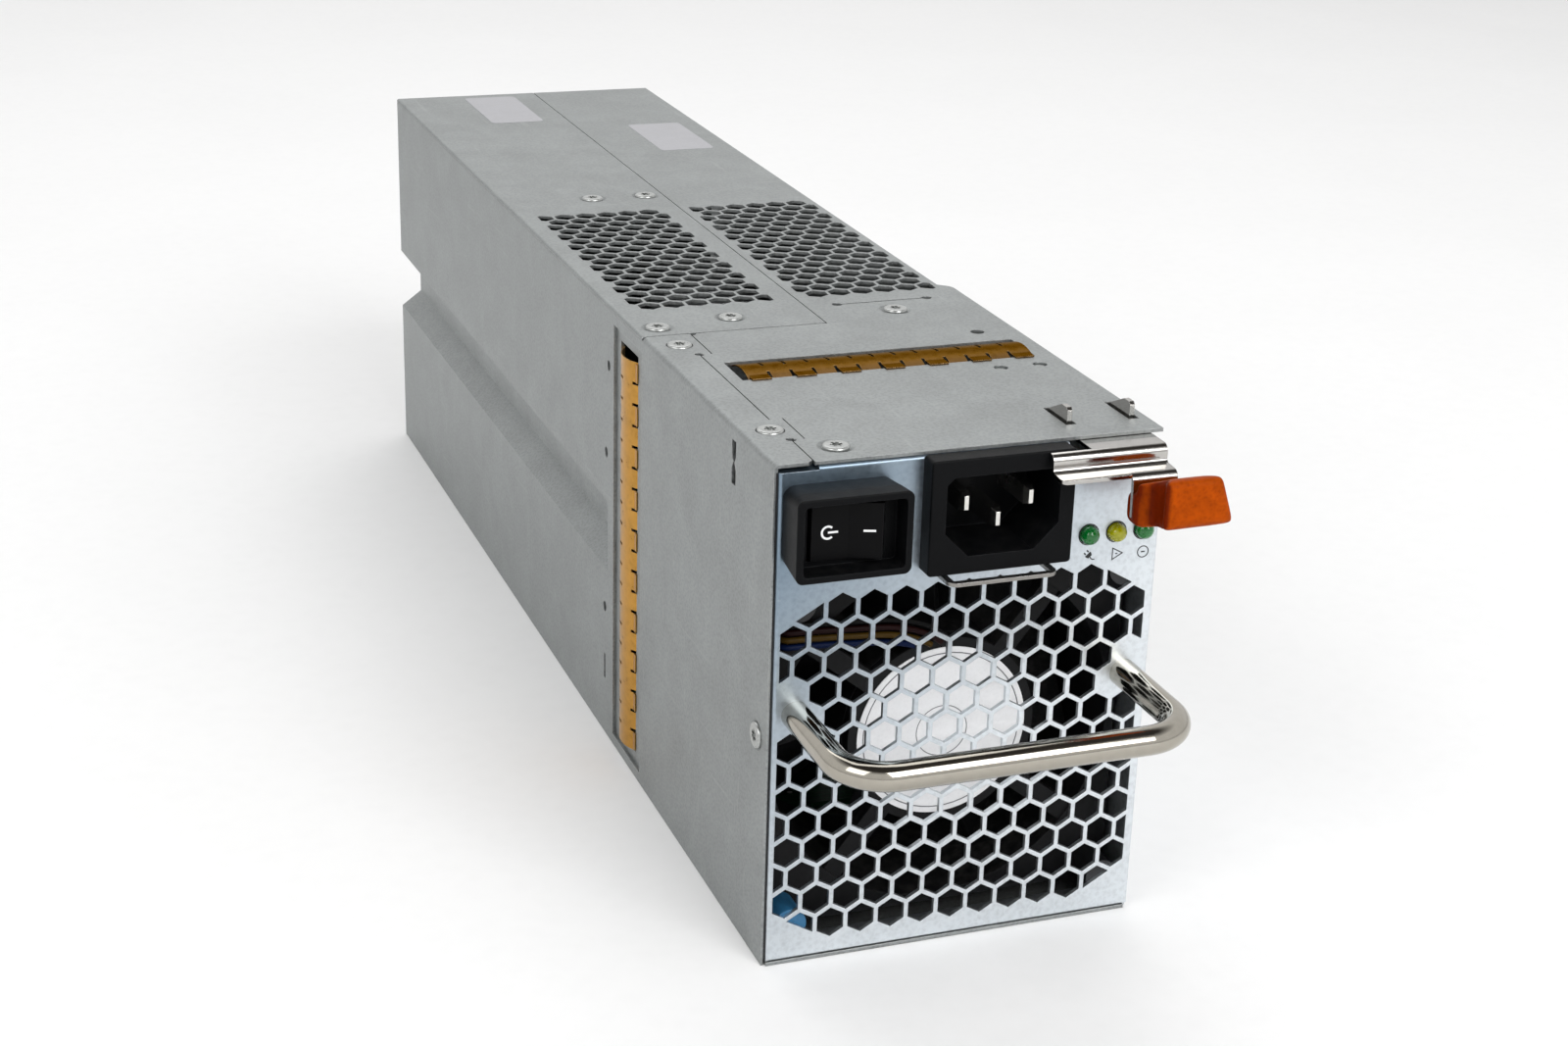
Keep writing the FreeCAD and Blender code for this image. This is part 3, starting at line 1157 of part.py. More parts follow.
def board_standoffs():
    posts = []
    for x, y in board_fixings():
        post = rod(STANDOFF / 2, (x, y, SHEET), (x, y, BOARD_Z))
        posts.append(post.cut(rod(SHANK / 2 + FIT, (x, y, SHEET + 1), (x, y, BOARD_Z + 1))))
    return Part.Compound(posts)


def board_screws():
    return Part.Compound([screw(x, y, board_top, length=4.5, height=1.6) for x, y in board_fixings()])


def insulator_sheet():
    x0, x1 = board_span()
    sheet = box(x0, x1, BOARD_FRONT_Y - 4, board_rear() - 2, SHEET, SHEET + 0.4)
    for x, y in board_fixings():
        sheet = sheet.cut(rod(STANDOFF / 2 + FIT, (x, y, 0), (x, y, HEIGHT)))
    return sheet


def can(x, y, diameter, height, pole=0.0):
    """A capacitor can standing on the board, with its crimp groove near the foot."""
    r = diameter / 2
    body = rod(r, (x, y, board_top), (x, y, board_top + height))
    body = soften(body, r * 0.08, lambda c, e: near(c.z, board_top + height))
    groove = rod(r + 1, (x, y, board_top + r * 0.25), (x, y, board_top + r * 0.4)).cut(
        rod(r * 0.95, (x, y, board_top), (x, y, board_top + r)))
    return body.cut(groove)


def bulk_capacitors():
    return Part.Compound([can(x, 74.0, 30.0, 50.0) for x in (-17.5, 16.5)])


def output_capacitors():
    y = board_rear() - 34
    return Part.Compound([can(x, y - row * 12, 10.0, 22.0)
                          for row in range(2) for x in (-24, -12, 0, 12, 24)])


def ring_choke(x, y, outer, inner, thick):
    """A toroidal choke standing on edge in a wound band."""
    z = board_top + outer / 2
    ring = rod(outer / 2, (x, y - thick / 2, z), (x, y + thick / 2, z)).cut(
        rod(inner / 2, (x, y - thick, z), (x, y + thick, z)))
    return soften(ring, thick * 0.24, lambda c, e: True)


def filter_chokes():
    return Part.Compound([ring_choke(x, 100.0, 25.0, 11.0, 13.0) for x in (-21.0, 20.0)])


def pfc_choke():
    return ring_choke(18.0, 126.0, 34.0, 15.0, 17.0)


def x_capacitors():
    blocks = [box(-6.5, 6.5, y, y + 9, board_top, board_top + 22) for y in (93.0, 105.0)]
    return Part.Compound([soften(b, 0.8, lambda c, e: c.z > board_top + 1) for b in blocks])


def main_transformer():
    """A ferrite core around a taped winding."""
    x0, x1, y0, y1 = -34.0, -6.0, 122.0, 160.0
    z0, z1 = board_top, board_top + 32
    core = box(x0, x1, y0 + 6, y1 - 6, z0, z1)
    winding = rounded_block(x0 + 3, x1 - 3, y0, y1, 6.0, "xy", z0 + 4, z1 - 4)
    return fuse([core, winding])


def finned_sink(x0, x1, y0, y1, height, fins, reach):
    wall = box(x0, x1, y0, y1, board_top, board_top + height)
    step = (y1 - y0 - 1.2) / (fins - 1)
    ribs = [box(x1, x1 + reach, y0 + k * step, y0 + k * step + 1.2, board_top + 6, board_top + height)
            for k in range(fins)]
    return fuse([wall, *ribs])


def primary_heatsink():
    return finned_sink(-4.0, -1.5, 142.0, 206.0, 78.0, 12, 14.0)


def rectifier_heatsink():
    rear = board_rear() - OUTPUT_ZONE
    return finned_sink(14.0, 16.5, rear - 58.0, rear, 70.0, 11, 15.0)


def output_chokes():
    y = board_rear() - OUTPUT_ZONE + 9
    return Part.Compound([ring_choke(x, y, 22.0, 9.0, 12.0) for x in (-20.0, 4.0)])


def control_board():
    """An upright daughter board, with its pins in the main board."""
    y = board_rear() - OUTPUT_ZONE - 10
    board = box(-29.0, -27.6, y - 65, y, board_top, board_top + 62)
    chips = [box(-27.6, -25.2, y - 57 + 18 * k, y - 47 + 18 * k, board_top + 22, board_top + 34)
             for k in range(3)]
    return fuse([board, *chips])


def standby_transformer():
    y = board_rear() - OUTPUT_ZONE - 42
    core = box(-22, -6, y, y + 20, board_top, board_top + 20)
    winding = rounded_block(-20, -8, y - 4, y + 24, 3.0, "xy", board_top + 3, board_top + 17)
    return fuse([core, winding])


def fuse_link():
    """A cartridge fuse in two clips, in the mains line."""
    z = board_top + 5
    tube_part = rod(2.6, (26.0, 142.0, z), (26.0, 162.0, z))
    clips = [box(22.6, 29.4, y, y + 5, board_top, z - 1.2) for y in (142.0, 157.0)]
    return fuse([tube_part, *clips])


def output_connector():
    """The rear plug: a black block on the board's edge that reaches out through the rear plate."""
    half = CONNECTOR_W / 2
    y0, y1 = board_rear() - CONNECTOR_DEPTH, DEPTH + CONNECTOR_REACH
    rear_edge = board_rear()
    block = box(-half, half, y0, y1, board_top, board_top + CONNECTOR_H)
    block = soften(block, 0.8, lambda c, e: near(c.y, y1))
    slots = [box(x - 1.1, x + 1.1, rear_edge, y1 + 1, board_top + 2, board_top + CONNECTOR_H - 2)
             for x in contact_places()]
    signal = box(16, half - 2.5, rear_edge, y1 + 1, board_top + 3, board_top + CONNECTOR_H - 3)
    return block.cut(Part.Compound([*slots, signal]))


def contact_places():
    return [-CONNECTOR_W / 2 + 5 + 6.4 * k for k in range(6)]


def output_contacts():
    """Power blades and signal pins inside the rear plug, from its solid back towards its mouth."""
    y0, y1 = board_rear(), DEPTH + CONNECTOR_REACH - 1.5
    blades = [box(x - 0.5, x + 0.5, y0, y1, board_top + 3, board_top + CONNECTOR_H - 3)
              for x in contact_places()]
    pins = [box(x - 0.3, x + 0.3, y0, y1, z - 0.3, z + 0.3)
            for x in [18.5 + 2.5 * k for k in range(4)] for z in (board_top + 5, board_top + 8)]
    return Part.Compound(blades + pins)


# ---- wires ----

def mains_wires():
    """Three mains wires from the inlet and switch down behind the fan to the board."""
    rear = fan_rear
    pin_end = INLET_BODY_DEPTH + 8
    z = board_top
    live = tube([(INLET_X + PIN_SPREAD, pin_end, inlet_z + PIN_OFFSET),
                 (INLET_X + PIN_SPREAD, rear - 4, 99.5), (14, rear + 5, 88), (21, rear + 7, 58),
                 (25, rear + 6.5, 30), (27, rear + 8.5, z)], WIRE / 2)
    neutral = tube([(switch_x + 5, 21, switch_z), (switch_x + 5, 36, switch_z + 1.5), (-25, rear + 3, 90),
                    (-26, rear + 7, 60), (-24, rear + 6, 30), (-22, rear + 8.5, z)], WIRE / 2)
    earth = tube([(INLET_X, pin_end, inlet_z - PIN_OFFSET), (INLET_X, rear - 4, 93), (3, rear + 5, 82),
                  (0, rear + 7.5, 55), (2, rear + 6, 28), (5, rear + 8.5, z)], WIRE / 2)
    return live, neutral, earth


def fan_lead():
    """The fan's four thin wires: from the hub to the frame's left edge, through its notches, to the
    board."""
    wires = []
    notch_x = -FAN / 2 + LEAD_NOTCH
    y = FAN_FRONT - 1.2
    run_x = notch_x - 1.6
    for k in range(4):
        z = fan_z + LEAD_HEIGHT + LEAD_PITCH * k
        drop_x = notch_x + 2 + 1.8 * k
        drop_y = fan_rear + 3 + 1.7 * k
        front = [(-6.0 + 2.3 * k, y + 1, fan_z + 20 + 0.3 * k), (-10.0 + 1.67 * k, y + 0.5, z - 1.9),
                 (-25, y - 0.3, z - 0.3), (notch_x + 1.4, y - 0.1, z), (run_x, y, z)]
        back = [(run_x - 0.1, y + 4, z), (run_x, drop_y, z), (run_x + 0.2, drop_y + 0.6, z - 4),
                (drop_x, drop_y + 2, board_top + 24), (drop_x + 0.1, drop_y + 3, board_top)]
        wires.append(tube(front + back, FAN_WIRE / 2))
    return Part.Compound(wires)


# ---- writing ----

def pieces():
    live, neutral, earth = mains_wires()
    low_light, mid_light, high_light = [light_pipe(x) for x in light_x]
    return {
        "base_tray": base_tray(), "left_side_panel": left_side_panel(),
        "top_cover_left": top_cover_left(), "top_cover_right": top_cover_right(),
        "front_panel": front_panel(), "rear_panel": rear_panel(), "gasket_carrier": gasket_carrier(),
        "top_gasket": top_gasket(), "side_gasket": side_gasket(), "edge_gasket": edge_gasket(),
        "cover_screws": cover_screws(), "side_screws": side_screws(), "handle": handle(),
        "handle_screws": handle_screws(), "cord_retainer_loop": cord_retainer_loop(),
        "switch_bezel": switch_bezel(), "switch_body": switch_body(), "rocker": rocker(),
        "rocker_pin": rocker_pin(), "inlet_housing": inlet_housing(), "inlet_pins": inlet_pins(),
        "light_pipe_input": low_light, "light_pipe_fault": mid_light, "light_pipe_output": high_light,
        "light_board": light_board(), "latch_leaf": latch_leaf(), "latch_grip": latch_grip(),
        "latch_mount": latch_mount(), "latch_rivets": latch_rivets(), "fan_frame": fan_frame(),
        "fan_stator": fan_stator(), "fan_rotor": fan_rotor(), "fan_shaft": fan_shaft(),
        "fan_label": fan_label(), "fan_mount_pins": fan_mount_pins(), "fan_lead": fan_lead(),
        "main_board": main_board(), "board_standoffs": board_standoffs(), "board_screws": board_screws(),
        "insulator_sheet": insulator_sheet(), "bulk_capacitors": bulk_capacitors(),
        "output_capacitors": output_capacitors(), "filter_chokes": filter_chokes(),
        "pfc_choke": pfc_choke(), "x_capacitors": x_capacitors(), "main_transformer": main_transformer(),
        "primary_heatsink": primary_heatsink(), "rectifier_heatsink": rectifier_heatsink(),
        "output_chokes": output_chokes(), "control_board": control_board(),
        "standby_transformer": standby_transformer(), "fuse_link": fuse_link(),
        "output_connector": output_connector(), "output_contacts": output_contacts(), "live_wire": live,
        "neutral_wire": neutral, "earth_wire": earth,
    }


os.makedirs("parts", exist_ok=True)
for name, shape in pieces().items():
    shape.translate(Vector(0, -DEPTH / 2, 0))
    shape.exportStep(f"parts/{name}.step")
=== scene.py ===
"""Hot swap server power supply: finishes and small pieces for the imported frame.

Everything is in metres in the frame's own axes: +X right, the front plate faces -Y, +Z up.
"""

import math

import bmesh
import bpy
from mathutils import Matrix, Vector
from mathutils.bvhtree import BVHTree


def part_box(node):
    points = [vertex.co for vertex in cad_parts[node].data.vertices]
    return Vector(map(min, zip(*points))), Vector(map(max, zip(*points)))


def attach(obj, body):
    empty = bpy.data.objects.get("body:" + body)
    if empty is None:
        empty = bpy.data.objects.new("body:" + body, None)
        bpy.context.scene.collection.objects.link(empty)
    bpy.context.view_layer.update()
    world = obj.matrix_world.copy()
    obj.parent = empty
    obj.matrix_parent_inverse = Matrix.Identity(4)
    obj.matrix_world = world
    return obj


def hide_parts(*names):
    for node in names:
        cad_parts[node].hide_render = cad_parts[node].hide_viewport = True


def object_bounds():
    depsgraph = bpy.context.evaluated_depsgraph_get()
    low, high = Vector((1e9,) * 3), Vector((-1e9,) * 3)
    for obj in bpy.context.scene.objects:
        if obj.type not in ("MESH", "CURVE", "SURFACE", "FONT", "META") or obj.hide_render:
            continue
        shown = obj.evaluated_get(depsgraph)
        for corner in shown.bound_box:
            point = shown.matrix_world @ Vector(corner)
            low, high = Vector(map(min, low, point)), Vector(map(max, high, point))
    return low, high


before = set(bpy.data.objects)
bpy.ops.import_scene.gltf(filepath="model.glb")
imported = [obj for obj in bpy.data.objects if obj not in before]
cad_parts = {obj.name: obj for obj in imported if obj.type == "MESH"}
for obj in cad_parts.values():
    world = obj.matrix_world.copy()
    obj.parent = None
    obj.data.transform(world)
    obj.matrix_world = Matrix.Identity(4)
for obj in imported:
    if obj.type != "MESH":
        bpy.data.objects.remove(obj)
CAD_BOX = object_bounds()
MM = 0.001
FRONT_VIEW = (Vector((0, -1, 0)), Vector((1, 0, 0)), Vector((0, 0, 1)))    # facing, across, up
TOP_VIEW = (Vector((0, 0, 1)), Vector((1, 0, 0)), Vector((0, 1, 0)))
SCRATCH_SIZE = 7.0       # millimetres between scratches, roughly
SCRATCH_DEPTH = 0.3      # share of the relief
DUST_SIZE = 2.5          # millimetres
DUST_COLOUR = (0.42, 0.40, 0.37)
DUST_ROUGHNESS = 0.4     # added to the roughness under full dust
RELIEF = 0.2 * MM        # height of a bump of 1

bl_info = {
    "name": "Hot swap server power supply",
    "version": (1, 0, 0),
    "blender": (4, 5, 0),
    "location": "3D View > Sidebar > Power supply",
    "description": "Dresses a hot swap server power supply and sets up its studio",
    "category": "Object",
}


# ---- settings ----

def colour_setting(name, description, default):
    return bpy.props.FloatVectorProperty(name=name, description=description, default=default,
                                         subtype="COLOR", size=3, min=0.0, max=1.0)


def length_setting(name, description, default):
    return bpy.props.FloatProperty(name=name, description=description, default=default,
                                   subtype="DISTANCE", unit="LENGTH", min=0.0)


def share_setting(name, description, default):
    return bpy.props.FloatProperty(name=name, description=description, default=default,
                                   subtype="FACTOR", min=0.0, max=1.0)


def number_setting(name, description, default, subtype="NONE", least=0.0):
    return bpy.props.FloatProperty(name=name, description=description, default=default, subtype=subtype,
                                   min=least)


class CaseSettings(bpy.types.PropertyGroup):
    steel: colour_setting("Steel", "Zinc-plated sheet of the case", (0.272, 0.285, 0.284))
    plate: colour_setting("Front plate", "Brighter zinc of the front plate", (0.66, 0.70, 0.73))
    screws: colour_setting("Screws", "Plated screws and rivets", (0.42, 0.43, 0.42))
    patch: colour_setting("Patches", "Bare paper patches on the rear covers", (0.385, 0.385, 0.405))
    grain: length_setting("Grain", "Size of the zinc's fine grain", 0.55 * MM)
    spangle: length_setting("Spangle", "Size of the zinc's cloudy patches", 14 * MM)
    wear: share_setting("Wear", "How much the sheet's edges are rubbed bright", 0.45)


class FittingSettings(bpy.types.PropertyGroup):
    handle: colour_setting("Handle", "Polished nickel of the handle", (0.40, 0.375, 0.325))
    latch: colour_setting("Latch", "Bright nickel of the latch spring", (0.46, 0.445, 0.425))
    loop: colour_setting("Loop", "Darker nickel of the cord's loop", (0.26, 0.25, 0.235))
    grip: colour_setting("Grip", "Soft orange sleeve on the latch", (0.30, 0.045, 0.0006))
    gold: colour_setting("Gold fingers", "Side gasket", (0.45, 0.235, 0.05))
    copper: colour_setting("Copper fingers", "Top gasket", (0.105, 0.060, 0.026))
    plastic: colour_setting("Black plastic", "Switch guard and inlet", (0.0030, 0.0032, 0.0037))
    rocker: colour_setting("Rocker", "Smoother black of the rocker", (0.002, 0.002, 0.0023))
    marks: colour_setting("Marks", "White print on the rocker", (0.82, 0.83, 0.84))
    # The same ink colour also paints the shadow rings round the lenses.
    print_ink: colour_setting("Ink", "Dark print on the front plate", (0.006, 0.006, 0.007))
    mark_height: length_setting("Mark height", "Thickness of every printed mark", 0.03 * MM)


class InsideSettings(bpy.types.PropertyGroup):
    board: colour_setting("Board", "Solder mask", (0.012, 0.075, 0.03))
    sleeve: colour_setting("Sleeve", "Capacitor sleeves", (0.012, 0.014, 0.02))
    copper: colour_setting("Wire", "Enamelled copper wire", (0.42, 0.15, 0.05))
    tape: colour_setting("Tape", "Transformer tape", (0.55, 0.40, 0.05))
    aluminium: colour_setting("Aluminium", "Heatsinks and capacitor tops", (0.60, 0.61, 0.62))
    fan: colour_setting("Fan", "Black glass-filled plastic of the fan", (0.004, 0.004, 0.0045))
    turns: bpy.props.IntProperty(name="Turns", description="Turns of wire on each ring", default=26, min=6)
    wire: length_setting("Wire thickness", "Enamelled wire's diameter", 1.0 * MM)


class StageSettings(bpy.types.PropertyGroup):
    floor: colour_setting("Floor", "Pale floor", (0.88, 0.88, 0.88))
    camera: bpy.props.FloatVectorProperty(name="Camera", description="Camera's place", size=3,
                                          subtype="TRANSLATION", unit="LENGTH",
                                          default=(-0.200526, -0.603633, 0.274816))
    azimuth: number_setting("Azimuth", "Camera's turn from the front", -0.357949, "ANGLE", -math.pi)
    elevation: number_setting("Elevation", "Camera's height angle", 0.367953, "ANGLE", -math.pi)
    roll: number_setting("Roll", "Camera's roll", 0.029325, "ANGLE", -math.pi)
    lens: number_setting("Lens", "Focal length in millimetres", 58.367, least=1.0)
    key: number_setting("Key", "Power of the large light in watts", 18.0)
    sky: number_setting("Sky", "Strength of the surroundings", 0.9)


# ---- shader building ----

def add_node(tree, kind, inputs=None, **settings):
    """A shader node. Each input gets a value, or a link where the value is a socket."""
    made = tree.nodes.new("ShaderNode" + kind)
    for label, value in settings.items():
        setattr(made, label, value)
    for label, value in (inputs or {}).items():
        if isinstance(value, bpy.types.NodeSocket):
            tree.links.new(value, made.inputs[label])
        else:
            made.inputs[label].default_value = value
    return made


def calculate(tree, operation, *values, clamp=False):
    made = add_node(tree, "Math", dict(enumerate(values)), operation=operation, use_clamp=clamp)
    return made.outputs[0]


def times(tree, *values, clamp=False):
    return calculate(tree, "MULTIPLY", *values, clamp=clamp)


def plus(tree, *values, clamp=False):
    return calculate(tree, "ADD", *values, clamp=clamp)


def mixed(tree, share, first, second, blend="MIX"):
    """Two colours mixed by share."""
    made = add_node(tree, "Mix", data_type="RGBA", blend_type=blend, clamp_factor=True)
    for index, value in ((0, share), (6, first), (7, second)):
        if isinstance(value, bpy.types.NodeSocket):
            tree.links.new(value, made.inputs[index])
        else:
            made.inputs[index].default_value = value if index == 0 else (*value, 1.0)
    return made.outputs[2]


def ramped(tree, value, low, high):
    """value's range from low to high stretched over 0 to 1."""
    made = add_node(tree, "MapRange", {"Value": value, "From Min": low, "From Max": high}, clamp=True)
    return made.outputs[0]


def along(tree, vector, axis):
    """One component of a vector."""
    return add_node(tree, "SeparateXYZ", {"Vector": vector}).outputs[axis]


def object_point(tree):
    return add_node(tree, "TexCoord").outputs["Object"]


def true_normal(tree):
    return add_node(tree, "NewGeometry").outputs["Normal"]


def bevelled(tree, radius):
    """The normal with the mesh's edges rounded to radius."""
    return add_node(tree, "Bevel", {"Radius": radius}, samples=4).outputs[0]


def place(tree, stretch=(1.0, 1.0, 1.0)):
    """The surface's own coordinates in millimetres, stretched."""
    scale = [1 / (MM * s) for s in stretch]
    return add_node(tree, "Mapping", {"Vector": object_point(tree), "Scale": scale}).outputs[0]


def noise(tree, size, detail, **inputs):
    """Noise with features of about size millimetres."""
    scale = calculate(tree, "DIVIDE", 1.0, size)
    made = add_node(tree, "TexNoise", {"Vector": place(tree), "Scale": scale, "Detail": detail, **inputs})
    return made.outputs["Fac"]


def effect(name, inputs, outputs, build):
    """A shader node group with named inputs and outputs, built once."""
    if name in bpy.data.node_groups:
        return bpy.data.node_groups[name]
    group = bpy.data.node_groups.new(name, "ShaderNodeTree")
    for label, default in inputs.items():
        socket = group.interface.new_socket(label, in_out="INPUT", socket_type="NodeSocketFloat")
        socket.default_value = default
    for label in outputs:
        group.interface.new_socket(label, in_out="OUTPUT", socket_type="NodeSocketFloat")
    given = group.nodes.new("NodeGroupInput").outputs
    put_out = group.nodes.new("NodeGroupOutput").inputs
    for label, socket in build(group, given).items():
        group.links.new(socket, put_out[label])
    return group


def grain_group():
    """Fine speckle and cloudy patches, as on plated sheet. Mottle is the patches' share."""
    def build(tree, given):
        fine = noise(tree, given["Size"], 3.0, Roughness=0.65)
        cloud = noise(tree, given["Cloud"], 5.0, Roughness=0.6, Distortion=0.6)
        crystal = add_node(tree, "TexVoronoi", {"Vector": place(tree),
                                                "Scale": calculate(tree, "DIVIDE", 0.7, given["Size"])})
        speckle = plus(tree, times(tree, fine, 0.65), times(tree, crystal.outputs["Distance"], 0.35))
        fleck = ramped(tree, speckle, 0.28, 0.58)
        patch = calculate(tree, "SUBTRACT", ramped(tree, cloud, 0.3, 0.7), fleck)
        shade = plus(tree, fleck, times(tree, patch, given["Mottle"]))
        return {"Shade": shade, "Height": speckle}
    return effect("Grain", {"Size": 0.7, "Cloud": 14.0, "Mottle": 0.5}, ("Shade", "Height"), build)


def wear_group():
    """Rubbed edges: where the rounded normal leaves the true one, broken up by noise."""
    def build(tree, given):
        normals = {0: bevelled(tree, times(tree, given["Width"], MM)), 1: true_normal(tree)}
        same = add_node(tree, "VectorMath", normals, operation="DOT_PRODUCT").outputs["Value"]
        edge = ramped(tree, calculate(tree, "SUBTRACT", 1.0, same), 0.02, 0.22)
        breakup = ramped(tree, noise(tree, 1 / 0.6, 4.0), 0.3, 0.6)
        return {"Mask": times(tree, edge, breakup, clamp=True)}
    return effect("Edge wear", {"Width": 0.3}, ("Mask",), build)


def scratch_group():
    """Thin scratches in two directions."""
    def build(tree, given):
        lines = []
        for stretch, seed in (((34.0, 1.1, 9.0), 3.0), ((1.6, 30.0, 1.2), 7.0)):
            inputs = {"Vector": place(tree, stretch), "W": seed, "Detail": 2.0,
                      "Scale": calculate(tree, "DIVIDE", 6.0, given["Size"])}
            grey = add_node(tree, "TexNoise", inputs, noise_dimensions="4D").outputs["Fac"]
            lines.append(ramped(tree, grey, 0.66, 0.74))
        return {"Mask": calculate(tree, "MAXIMUM", *lines)}
    return effect("Scratches", {"Size": 6.0}, ("Mask",), build)


def dust_group():
    """Loose dust on faces that look up."""
    def build(tree, given):
        up = along(tree, true_normal(tree), "Z")
        loose = ramped(tree, noise(tree, given["Size"], 8.0, Roughness=0.75), 0.45, 0.72)
        return {"Mask": times(tree, ramped(tree, up, 0.2, 0.9), loose, clamp=True)}
    return effect("Dust", {"Size": 3.0}, ("Mask",), build)


def group_node(tree, group, **values):
    made = tree.nodes.new("ShaderNodeGroup")
    made.node_tree = group
    for label, value in values.items():
        made.inputs[label].default_value = value
    return made.outputs


def surface(name, colour, roughness, metallic=0.0, size=0.7, cloud=14.0, mottle=0.5, contrast=0.15,
            bump=0.1, gloss_change=0.12, wear=0.0, worn=(0.8, 0.8, 0.8), wear_width=0.3, scratches=0.0,
            dust=0.0, edge=0.3, paint=None, **sockets):
    """A material with grain, cloudy gloss, rubbed edges, scratches and dust, each in its own measure."""
    if name in bpy.data.materials:
        return bpy.data.materials[name]
    material = bpy.data.materials.new(name)
    material.use_nodes = True
    material.diffuse_color = (*colour, 1.0)
    tree = material.node_tree
    grain = group_node(tree, grain_group(), Size=size, Cloud=cloud, Mottle=mottle)
    tone = plus(tree, 1.0 - contrast, times(tree, grain["Shade"], 2 * contrast))
    base = mixed(tree, 1.0, paint(tree) if paint else tuple(colour), tone, "MULTIPLY")
    gloss = plus(tree, roughness - gloss_change / 2, times(tree, grain["Shade"], gloss_change))
    height = times(tree, grain["Height"], bump)
    if scratches:
        amount = times(tree, group_node(tree, scratch_group(), Size=SCRATCH_SIZE)["Mask"], scratches)
        base = mixed(tree, amount, base, tuple(worn))
        height = calculate(tree, "SUBTRACT", height, times(tree, amount, SCRATCH_DEPTH))
    if wear:
        amount = times(tree, group_node(tree, wear_group(), Width=wear_width)["Mask"], wear)
        base = mixed(tree, amount, base, tuple(worn))
    if dust:
        amount = times(tree, group_node(tree, dust_group(), Size=DUST_SIZE)["Mask"], dust)
        base = mixed(tree, amount, base, DUST_COLOUR)
        gloss = plus(tree, gloss, times(tree, amount, DUST_ROUGHNESS), clamp=True)
    relief = {"Height": height, "Strength": 0.5, "Distance": RELIEF}
    if edge:
        relief["Normal"] = bevelled(tree, edge * MM)
    shader = tree.nodes["Principled BSDF"]
    tree.links.new(base, shader.inputs["Base Color"])
    tree.links.new(gloss, shader.inputs["Roughness"])
    tree.links.new(add_node(tree, "Bump", relief).outputs[0], shader.inputs["Normal"])
    shader.inputs["Metallic"].default_value = metallic
    for label, value in sockets.items():
        shader.inputs[label.replace("_", " ")].default_value = value
    return material


# ---- piece building ----

def dress(material, *names):
    """Gives CAD nodes a material."""
    for name in names:
        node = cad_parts[name]
        for slot in node.material_slots:
            slot.material = material
        if not node.material_slots:
            node.data.materials.append(material)


def new_piece(name, mesh, material, body, replaced=()):
    """A named object from a mesh or a filled bmesh, riding on a body."""
    if isinstance(mesh, bmesh.types.BMesh):
        filled = bpy.data.meshes.new(name)
        bmesh.ops.recalc_face_normals(mesh, faces=mesh.faces)
        mesh.to_mesh(filled)
        mesh.free()
        mesh = filled
    mesh.materials.append(material)
    made = bpy.data.objects.new(name, mesh)
    bpy.context.scene.collection.objects.link(made)
    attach(made, body)
    if replaced:
        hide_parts(*replaced)
    return made


def smooth_by_angle(piece, degrees=35):
    piece.data.shade_smooth()
    piece.data.set_sharp_from_angle(angle=math.radians(degrees))


def solids(name):
    """The boxes of a node's separate solids, left to right and front to back."""
    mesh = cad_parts[name].data
    work = bmesh.new()
    work.from_mesh(mesh)
    bmesh.ops.remove_doubles(work, verts=work.verts, dist=1e-5)
    left = set(work.verts)
    boxes = []
    while left:
        island = [left.pop()]
        for vert in island:
            for edge in vert.link_edges:
                other = edge.other_vert(vert)
                if other in left:
                    left.discard(other)
                    island.append(other)
        low = Vector([min(v.co[i] for v in island) for i in range(3)])
        high = Vector([max(v.co[i] for v in island) for i in range(3)])
        boxes.append((low, high))
    work.free()
    return sorted(boxes, key=lambda b: (round(b[0].y, 4), round(b[0].x, 4)))


def middle(box):
    return (box[0] + box[1]) / 2


def front_middle(node, y=None):
    """The middle of a node's outline seen from the front, on its front face or laid at y."""
    point = middle(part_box(node))
    point.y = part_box(node)[0].y if y is None else y
    return point


def skin(work, rings):
    """Faces over a stack of rings, closed at both ends."""
    for low, high in zip(rings, rings[1:]):
        for k in range(len(low)):
            n = (k + 1) % len(low)
            work.faces.new((low[k], low[n], high[n], high[k]))
    work.faces.new(rings[-1])
    work.faces.new(rings[0][::-1])


def arc(centre, radius, start, end, steps):
    """Points of an arc in a mark's plane, angles in degrees."""
    angles = [math.radians(start + (end - start) * k / steps) for k in range(steps + 1)]
    return [(centre[0] + radius * math.cos(a), centre[1] + radius * math.sin(a)) for a in angles]


def rounded_outline(x0, x1, y0, y1, corner, steps):
    """A rectangle's outline with rounded corners."""
    outline = []
    for sx, sy, start in ((1, 1, 0), (-1, 1, 90), (-1, -1, 180), (1, -1, 270)):
        centre = (x1 - corner if sx > 0 else x0 + corner, y1 - corner if sy > 0 else y0 + corner)
        outline += arc(centre, corner, start, start + 90, steps)
    return outline


def stroke(points, width, closed=False):
    """Quads of a drawn line with mitred corners."""
    points = [Vector(p) for p in points]
    count = len(points)
    sides = []
    for k, point in enumerate(points):
        before = points[k - 1] if k or closed else None
        after = points[(k + 1) % count] if k < count - 1 or closed else None
        runs = ((before, point), (point, after))
        ways = [(b - a).normalized() for a, b in runs if a is not None and b is not None]
        way = sum(ways, Vector((0, 0))).normalized()
        across = Vector((-way.y, way.x))
        reach = width / 2 / max(0.3, abs(way.dot(ways[0])))
        sides.append((point + across * reach, point - across * reach))
    quads = []
    for k in range(count if closed else count - 1):
        here, there = sides[k], sides[(k + 1) % count]
        quads.append((here[0], here[1], there[1], there[0]))
    return quads


def ring_stroke(radius, width, steps):
    """A drawn ring of steps + 1 corners."""
    return stroke(arc((0, 0), radius, 0, 360 * steps / (steps + 1), steps), width, closed=True)


